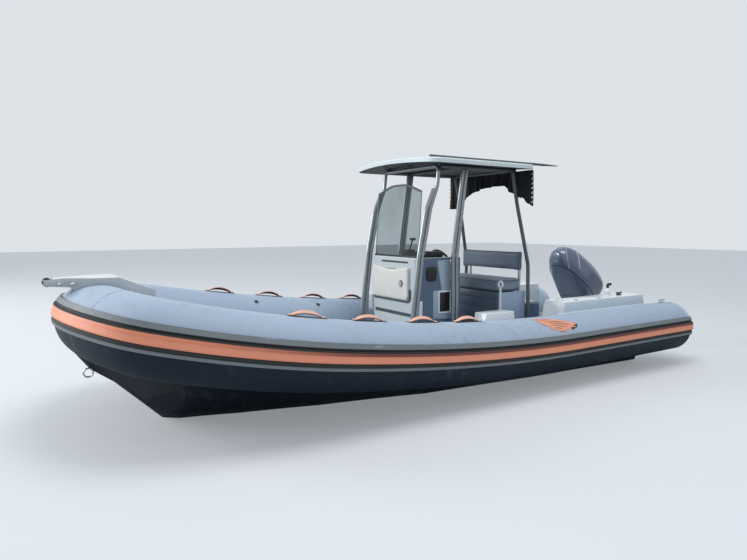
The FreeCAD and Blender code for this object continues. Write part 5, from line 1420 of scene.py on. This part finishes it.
def make_screen_trim():
    corners = ((-SCREEN_HALF, SCREEN_EDGE), (-SCREEN_RIDGE, SCREEN_HEAD.z), (SCREEN_RIDGE, SCREEN_HEAD.z),
               (SCREEN_HALF, SCREEN_EDGE))
    top = [on_screen(across, up) for across, up in corners]
    swept_piece("screen_top_trim", box_section(0.016, 0.020), [places_along(rounded_path(top, 0.08))],
                "dark_trim", slot="black_plastic")
    edges = [places_along([on_screen(side * SCREEN_HALF, 1.375), on_screen(side * SCREEN_HALF, SCREEN_EDGE)])
             for side, hand in SIDES]
    swept_piece("screen_side_trim", box_section(0.012, 0.008), edges, "screen_edge", slot="screen_clear")
    shape = bmesh.new()
    block(shape, (0.366, -0.404, 1.3602), (0.408, 0.404, 1.378), 0.006)
    make_piece(shape, "screen_foot_moulding", "black_plastic")


make_screen_trim()
print("screen trims")

# %% [markdown]
# Under the hard top a soft liner fills the space between the rails, edged with a pale piping. Its
# outline is a rounded rectangle, and it follows the crown of the roof, which is an arc across the
# boat. Cutting the flat outline into strips lets each strip find its own height on that arc.

# %% The roof liner
ROOF_HALF, ROOF_LOW, ROOF_CROWN = 0.750, 2.320, 0.030
LINER_LOW, LINER_HIGH = (-0.845, -0.445), (-0.020, 0.445)


def roof_underside(across):
    """The height of the crowned roof's lower face."""
    radius = (ROOF_HALF ** 2 + ROOF_CROWN ** 2) / (2 * ROOF_CROWN)
    return ROOF_LOW + ROOF_CROWN - radius + math.sqrt(radius ** 2 - across ** 2)


def rounded_rectangle(low, high, radius):
    return (corner_arc((high[0] - radius, high[1] - radius), radius, 0)
            + corner_arc((low[0] + radius, high[1] - radius), radius, 90)
            + corner_arc((low[0] + radius, low[1] + radius), radius, 180)
            + corner_arc((high[0] - radius, low[1] + radius), radius, 270))


def resampled(points, step):
    """A closed path with points at most a step apart."""
    path = []
    for before, after in zip(points, points[1:] + points[:1]):
        before, after = Vector(before), Vector(after)
        count = max(1, math.ceil((after - before).length / step))
        path += [before.lerp(after, k / count) for k in range(count)]
    return path


def make_liner():
    outline = rounded_rectangle(LINER_LOW, LINER_HIGH, 0.07)
    shape = bmesh.new()
    flat_face(shape, [(ahead, across, 0) for ahead, across in outline])
    for k in range(-8, 9):
        slice_through(shape, (0, 0.05 * k, 0), (0, 1, 0))
    bmesh.ops.solidify(shape, geom=shape.faces[:], thickness=0.006)
    for vertex in shape.verts:
        vertex.co.z += roof_underside(vertex.co.y) - 0.007
    make_piece(shape, "roof_liner", "ceiling", slot="roof_skin")
    path = [Vector((point.x, point.y, roof_underside(point.y) - 0.008))
            for point in resampled([(ahead, across, 0) for ahead, across in outline], 0.04)]
    swept_piece("roof_liner_piping", round_section(0.005, 8), [places_along(path, closed=True)], "piping",
                closed=True, slot="roof_skin")


make_liner()
print("liner:", round(LINER_HIGH[0] - LINER_LOW[0], 2), "by", round(LINER_HIGH[1] - LINER_LOW[1], 2), "m")

# %% [markdown]
# A black canvas shade hangs from the hard top's after edge. It is bunched up towards both sides and
# leaves an arch in the middle. A grid makes one sheet: its columns are pushed fore and aft in folds
# that deepen towards the free edge, and its lower edge follows the arch. Solidify gives it cloth's
# thickness. The sheet is cut wider than the roof, because the folds take up cloth.

# %% The canvas
SHADE_X, SHADE_HALF, SHADE_HEAD = -0.977, 0.706, 2.318
SHADE_EDGE = [
    # distance to port, drop of the lower edge
    (-0.71, 0.40), (-0.60, 0.400), (-0.50, 0.365), (-0.38, 0.260), (-0.26, 0.205), (-0.08, 0.165),
    (0.12, 0.150), (0.26, 0.150), (0.38, 0.235), (0.48, 0.290), (0.56, 0.300), (0.64, 0.370), (0.71, 0.400),
]
SHADE_COLUMNS, SHADE_ROWS = 260, 22


def shade_drop(across):
    """How far the lower edge hangs down, eased between the points of the table."""
    for (left, high), (right, low) in zip(SHADE_EDGE, SHADE_EDGE[1:]):
        if across <= right:
            share = (across - left) / (right - left)
            share = share * share * (3 - 2 * share)
            return high + (low - high) * share
    return SHADE_EDGE[-1][1]


def shade_fold(across, share):
    """How far the cloth stands fore or aft: folds of uneven width that deepen downwards."""
    wander = 0.9 * math.sin(5.1 * across + 0.4) + 0.5 * math.sin(12.7 * across + 1.9)
    deep = math.sin(46 * across + 2.4 * wander + 1.6 * share)
    fine = math.sin(131 * across + 3.0 * wander - 2.0 * share)
    return (0.003 + 0.013 * share ** 0.8) * deep + (0.001 + 0.004 * share) * fine


def make_shade():
    shape = bmesh.new()
    bmesh.ops.create_grid(shape, x_segments=SHADE_COLUMNS, y_segments=SHADE_ROWS, size=0.5)
    for vertex in shape.verts:
        across, share = vertex.co.x * 2 * SHADE_HALF, 0.5 - vertex.co.y
        ripple = 0.006 * math.sin(60 * across + 2 * math.sin(17 * across)) * share
        sag = 0.010 * math.sin(math.pi * share) * math.sin(23 * across)
        vertex.co = (SHADE_X + shade_fold(across, share), across + 0.006 * math.sin(92 * across) * share,
                     SHADE_HEAD - shade_drop(across) * share - ripple - sag * share)
    cloth = make_piece(shape, "canvas_shade", "canvas_black", stands_for=("sun_shade",), flip=False)
    print("cloth area:", round(sum(face.area for face in cloth.data.polygons), 3), "square metres")
    wall = cloth.modifiers.new("cloth_thickness", "SOLIDIFY")
    wall.thickness = 0.0016
    wall.offset = 0.0
    return cloth


shade = make_shade()

# %% [markdown]
# The free edge is rolled into a hem, and small loops of white cord run up both ends of the canvas.

# %% Hem and lacing
def make_shade_hem():
    """A rolled edge along the arch, a little flatter than the folds above it."""
    path = []
    for k in range(151):
        across = -SHADE_HALF + 2 * SHADE_HALF * k / 150
        path.append(Vector((SHADE_X + shade_fold(across, 1.0) * 0.6, across,
                            SHADE_HEAD - shade_drop(across) + 0.004)))
    return swept_piece("canvas_hem", round_section(0.008, 8), [places_along(path)], "canvas_black")


def make_lacing():
    """Seven loops of cord at each end."""
    loops = []
    for side, hand in SIDES:
        for k in range(7):
            up = SHADE_HEAD - 0.045 - 0.052 * k
            centre = Vector((SHADE_X, side * (SHADE_HALF - 0.004), up))
            turns = [math.tau * step / 10 for step in range(10)]
            loop = [centre + Vector((0.011 * math.cos(turn), side * 0.010 * math.sin(turn),
                                     0.011 * math.sin(turn))) for turn in turns]
            loops.append(places_along(loop, closed=True))
    return swept_piece("canvas_lacing", round_section(0.0035, 6), loops, "lacing_white", closed=True,
                       slot="canvas_black")


hem, lacing = make_shade_hem(), make_lacing()

# %% [markdown]
# The helm seat's pads are foam in vinyl covers. A short cloth simulation blows each one up from a
# slightly small block, so that its faces crown and its sides pull in between the corners, as a
# stuffed cover does. Each point's move is capped, so that the pad stays in its place.

# %% Swell the seat pads
PAD_VOXEL = 0.009
PAD_PRESSURE = 4.0
PAD_FRAMES = 20
PADS = [
    # node, finish, edge rounding, shrink, cap on the swelling
    ("seat_cushion", "cushion_skin", 0.026, 0.007, 0.012),
    ("seat_backrest", "seat_skin", 0.018, 0.006, 0.010),
]


def baked(piece):
    """Replace a piece's mesh by what its modifiers make of it."""
    depsgraph = bpy.context.evaluated_depsgraph_get()
    mesh = bpy.data.meshes.new_from_object(piece.evaluated_get(depsgraph))
    piece.modifiers.clear()
    piece.data = mesh


def inflate(piece, cap, resting_height):
    """Swell a closed mesh, and hold the points that rest on something."""
    remesh = piece.modifiers.new("remesh", "REMESH")
    remesh.mode = "VOXEL"
    remesh.voxel_size = PAD_VOXEL
    baked(piece)
    start = [vertex.co.copy() for vertex in piece.data.vertices]
    held = piece.vertex_groups.new(name="held")
    held.add([vertex.index for vertex in piece.data.vertices if vertex.co.z < resting_height], 1.0, "REPLACE")
    cloth = piece.modifiers.new("cloth", "CLOTH")
    cloth.settings.use_pressure = True
    cloth.settings.uniform_pressure_force = PAD_PRESSURE
    cloth.settings.effector_weights.gravity = 0.0
    cloth.settings.vertex_group_mass = "held"
    for frame_number in range(1, PAD_FRAMES + 1):
        bpy.context.scene.frame_set(frame_number)
    baked(piece)
    for vertex, before in zip(piece.data.vertices, start):
        move = vertex.co - before
        if move.length > cap:
            vertex.co = before + move.normalized() * cap
    bpy.context.scene.frame_set(1)


def make_pad(node, finish_name, edge, shrink, cap):
    """A padded cover in the place of a CAD pad. The cushion rests on its base and is held there."""
    low, high = (Vector(point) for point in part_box(node))
    margin = Vector((shrink, shrink, shrink))
    shape = bmesh.new()
    block(shape, low + margin, high - margin, edge, 4)
    pad = make_piece(shape, f"{node}_cover", finish_name, slot="seat_skin", stands_for=(node,))
    resting = low.z + 2 * shrink if node == "seat_cushion" else -1.0
    inflate(pad, cap, resting)
    pad.data.polygons.foreach_set("use_smooth", [True] * len(pad.data.polygons))
    return pad


pads = {row[0]: make_pad(*row) for row in PADS}
print("pads:", {name: len(pad.data.polygons) for name, pad in pads.items()})

# %% [markdown]
# A pad's cover is sewn from panels, and a bead of piping fills each seam. Its path is a rounded
# rectangle near the pad's edge, whose points are moved to the nearest places on the swollen cover.
# One step of subdivision comes last, so that the covers are smooth.

# %% Seat piping
from mathutils.bvhtree import BVHTree

PIPING_RADIUS = 0.0045


def lay_piping(name, pad, path):
    """A round bead on the nearest points of a pad's cover."""
    tree = BVHTree.FromObject(pad, bpy.context.evaluated_depsgraph_get())
    laid = []
    for point in resampled(path, 0.03):
        place, normal = tree.find_nearest(point)[:2]
        laid.append(place + normal * PIPING_RADIUS * 0.3)
    swept_piece(name, round_section(PIPING_RADIUS, 8), [places_along(laid, closed=True)], "piping_dark",
                closed=True, slot="seat_skin")


low, high = (Vector(point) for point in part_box("seat_cushion"))
outline = rounded_rectangle((low.x + 0.004, low.y + 0.004), (high.x - 0.004, high.y - 0.004), 0.035)
for name, height in (("cushion_piping_top", high.z - 0.016), ("cushion_piping_low", low.z + 0.022)):
    lay_piping(name, pads["seat_cushion"], [(a, b, height) for a, b in outline])
low, high = (Vector(point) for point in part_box("seat_backrest"))
outline = rounded_rectangle((low.y + 0.012, low.z + 0.012), (high.y - 0.012, high.z - 0.012), 0.03)
for name, ahead in (("backrest_piping_front", high.x - 0.006), ("backrest_piping_back", low.x + 0.006)):
    lay_piping(name, pads["seat_backrest"], [(ahead, a, b) for a, b in outline])
for pad in pads.values():
    smooth = pad.modifiers.new("smooth", "SUBSURF")
    smooth.levels = smooth.render_levels = 1
print("four runs of piping")

# %% [markdown]
# The engine's cowl is two mouldings that meet in a dark rubber seam. The seam lies in one sloping
# plane, so cutting a copy of the cowl with that plane finds it exactly: the cut's edges, walked in
# order, are the path for a thin bead.

# %% Cut lines on the cowl
COWL_SEAM = (Vector((-2.256, 0, 1.164)), Vector((-0.81, 0, 1.0)))
COWL_CREASE = (Vector((-2.293, 0.138, 1.311)), Vector((0.61, -0.77, -0.17)))
COWL_SLOT = (Vector((-2.447, 0.203, 1.27)), Vector((1.0, 0.0, 0.02)))
COWL_APRON = (Vector((-2.60, 0, 0.700)), Vector((-0.45, 0, 1.0)))


def cut_paths(node, plane, wanted):
    """The lines in which a plane cuts a piece, each as ordered points, as far as they are wanted."""
    shape = merged_copy(node)
    point, normal = plane
    edges = {edge for edge in slice_through(shape, point, normal.normalized())
             if wanted((edge.verts[0].co + edge.verts[1].co) / 2)}
    links = {}
    for edge in edges:
        for vertex in edge.verts:
            links.setdefault(vertex, []).append(edge)
    paths = []
    while edges:
        ends = [vertex for vertex in links if len([edge for edge in links[vertex] if edge in edges]) == 1]
        starts = ends or [vertex for edge in edges for vertex in edge.verts]
        here = min(starts, key=lambda vertex: tuple(vertex.co))
        path = [here.co.copy()]
        while True:
            onward = [edge for edge in links[here] if edge in edges]
            if not onward:
                break
            edges.discard(onward[0])
            here = onward[0].other_vert(here)
            path.append(here.co.copy())
        paths.append(path)
    shape.free()
    return [path for path in paths if len(path) > 2]


def thinned(path, step):
    """Leave out points that follow the last one too closely."""
    kept = [path[0]]
    for point in path[1:]:
        if (point - kept[-1]).length >= step:
            kept.append(point)
    return kept


print("the cowl's seam runs through", tuple(round(value, 3) for value in COWL_SEAM[0]))

# %% [markdown]
# Dark beads mark the seam and the joint of the lower apron. On the top cover, two creases a side
# catch the light as thin pale lines. Each comes from a cut by a plane too, kept only where a rule
# about the place says so.

# %% Lay the cowl's beads
def lay_bead(name, plane, wanted, radius, finish_name, slot=None):
    """A thin round bead along each line that a plane cuts on the cowl."""
    shape = bmesh.new()
    for path in cut_paths("cowl", plane, wanted):
        closed = (path[0] - path[-1]).length < 0.002
        path = thinned(path[:-1] if closed else path, 0.006)
        if len(path) > 3:
            sweep(shape, round_section(radius, 8), places_along(path, closed=closed), closed=closed)
    make_piece(shape, name, finish_name, "engine", slot)


def above_seam(point):
    """Whether a point is on the top cover."""
    return (point - COWL_SEAM[0]).dot(COWL_SEAM[1]) > 0.004


def mirrored(plane):
    """The same plane on the starboard side."""
    point, normal = plane
    return (Vector((point.x, -point.y, point.z)), Vector((normal.x, -normal.y, normal.z)))


lay_bead("cowl_seam", COWL_SEAM, lambda point: True, 0.0055, "black_plastic")
lay_bead("cowl_apron_seam", COWL_APRON, lambda point: True, 0.004, "black_plastic")
for side, hand in SIDES:
    crease = COWL_CREASE if side > 0 else mirrored(COWL_CREASE)
    lay_bead(f"cowl_crease_{hand}", crease,
             lambda point, side=side: above_seam(point) and point.x > -2.40 and point.y * side > 0.03,
             0.0022, "cowl_line", "engine_blue")
    lay_bead(f"cowl_slot_{hand}", COWL_SLOT,
             lambda point, side=side: 1.115 < point.z < 1.345 and point.y * side > 0.05,
             0.0060, "cowl_line", "engine_blue")
print("cowl seams laid")

# %% [markdown]
# The stern boxes are closed lockers. Each has a flat lid with a latch and two hinges, and a bead of
# sealant where its side meets the tube.

# %% Stern boxes
BOX_TOP, BOX_SIDE = 0.842, 0.985
LID_LOW, LID_HIGH = (-2.02, 0.742), (-1.36, 0.944)
HINGE_LINE = 0.936
SEALANT_START, SEALANT_RUN = -2.70, 1.60


def level_on_tube(ahead, across):
    """The height of the port tube's upper skin above one place."""
    best = 0.0
    for angle in range(90, 181):
        point = on_tube(ahead - COLLAR_START.x, angle)
        if abs(point.y - across) < 0.006:
            best = max(best, point.z)
    return best


def make_box_lid(side, hand):
    shape = bmesh.new()
    flat_face(shape, [(ahead, across * side, BOX_TOP + 0.0005)
                      for ahead, across in rounded_rectangle(LID_LOW, LID_HIGH, 0.03)])
    raise_plate(shape, (0, 0, 0.004), 0.003, 0.002)
    make_piece(shape, f"box_lid_{hand}", "moulding_white")


def make_lid_fittings(side, hand):
    """A round latch and two hinges."""
    shape = bmesh.new()
    stud(shape, facing_place((-1.69, side * 0.775, BOX_TOP + 0.0065), (0, 0, 1)), 0.018, 0.004)
    for ahead in (-1.90, -1.48):
        block(shape, (ahead - 0.03, side * HINGE_LINE - 0.014, BOX_TOP + 0.001),
              (ahead + 0.03, side * HINGE_LINE + 0.014, BOX_TOP + 0.010), 0.002)
    make_piece(shape, f"box_lid_fittings_{hand}", "stainless")


def make_sealant(side, hand):
    """A bead along the foot of the box, where it meets the curve of the tube."""
    lowest = COLLAR_START.z + math.sqrt(TUBE_RADIUS ** 2 - (COLLAR_START.y - BOX_SIDE) ** 2)
    bead = []
    for k in range(41):
        ahead = SEALANT_START + SEALANT_RUN * k / 40
        bead.append(Vector((ahead, side * (BOX_SIDE + 0.002), max(lowest, level_on_tube(ahead, BOX_SIDE)))))
    swept_piece(f"box_sealant_{hand}", round_section(0.0120, 8), [places_along(bead)], "moulding_white")


for side, hand in SIDES:
    make_box_lid(side, hand)
    make_lid_fittings(side, hand)
    make_sealant(side, hand)
print("lids with hinges and a latch, and sealant")

# %% [markdown]
# Valves sit on the inner side of the tubes, each a grey ring with a black cap. The vent on the port
# box ends in a black elbow, a short swept tube.

# %% Valves and the vent's elbow
VALVE_PLACES = (0.85, 2.55, 3.96, 4.75, 6.95)
VALVE_ANGLE = math.radians(128)


def make_valves():
    caps, rings = bmesh.new(), bmesh.new()
    for distance in VALVE_PLACES:
        for side, hand in SIDES:
            place = collar_place(distance if side > 0 else 2 * HALF_COLLAR - distance)
            away = place.to_3x3() @ Vector((0, math.cos(VALVE_ANGLE), math.sin(VALVE_ANGLE)))
            away.normalize()
            point = place.translation + away * (TUBE_RADIUS - 0.001)
            stud(rings, facing_place(point, away), 0.036, 0.005, 24)
            stud(caps, facing_place(point + away * 0.004, away), 0.023, 0.009, 20)
    make_piece(rings, "valve_rings", "valve_grey", slot="tube_fabric")
    make_piece(caps, "valve_caps", "black_plastic")


def make_vent_elbow():
    low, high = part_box("box_vent")
    centre = Vector(((low[0] + high[0]) / 2, (low[1] + high[1]) / 2, high[2]))
    pipe = [centre + Vector(offset) for offset in ((0, 0, -0.01), (0, 0, 0.03), (-0.055, 0, 0.03))]
    swept_piece("vent_elbow", round_section(0.017, 14), [places_along(rounded_path(pipe, 0.03))],
                "black_plastic")


make_valves()
make_vent_elbow()
print("valves:", 2 * len(VALVE_PLACES))
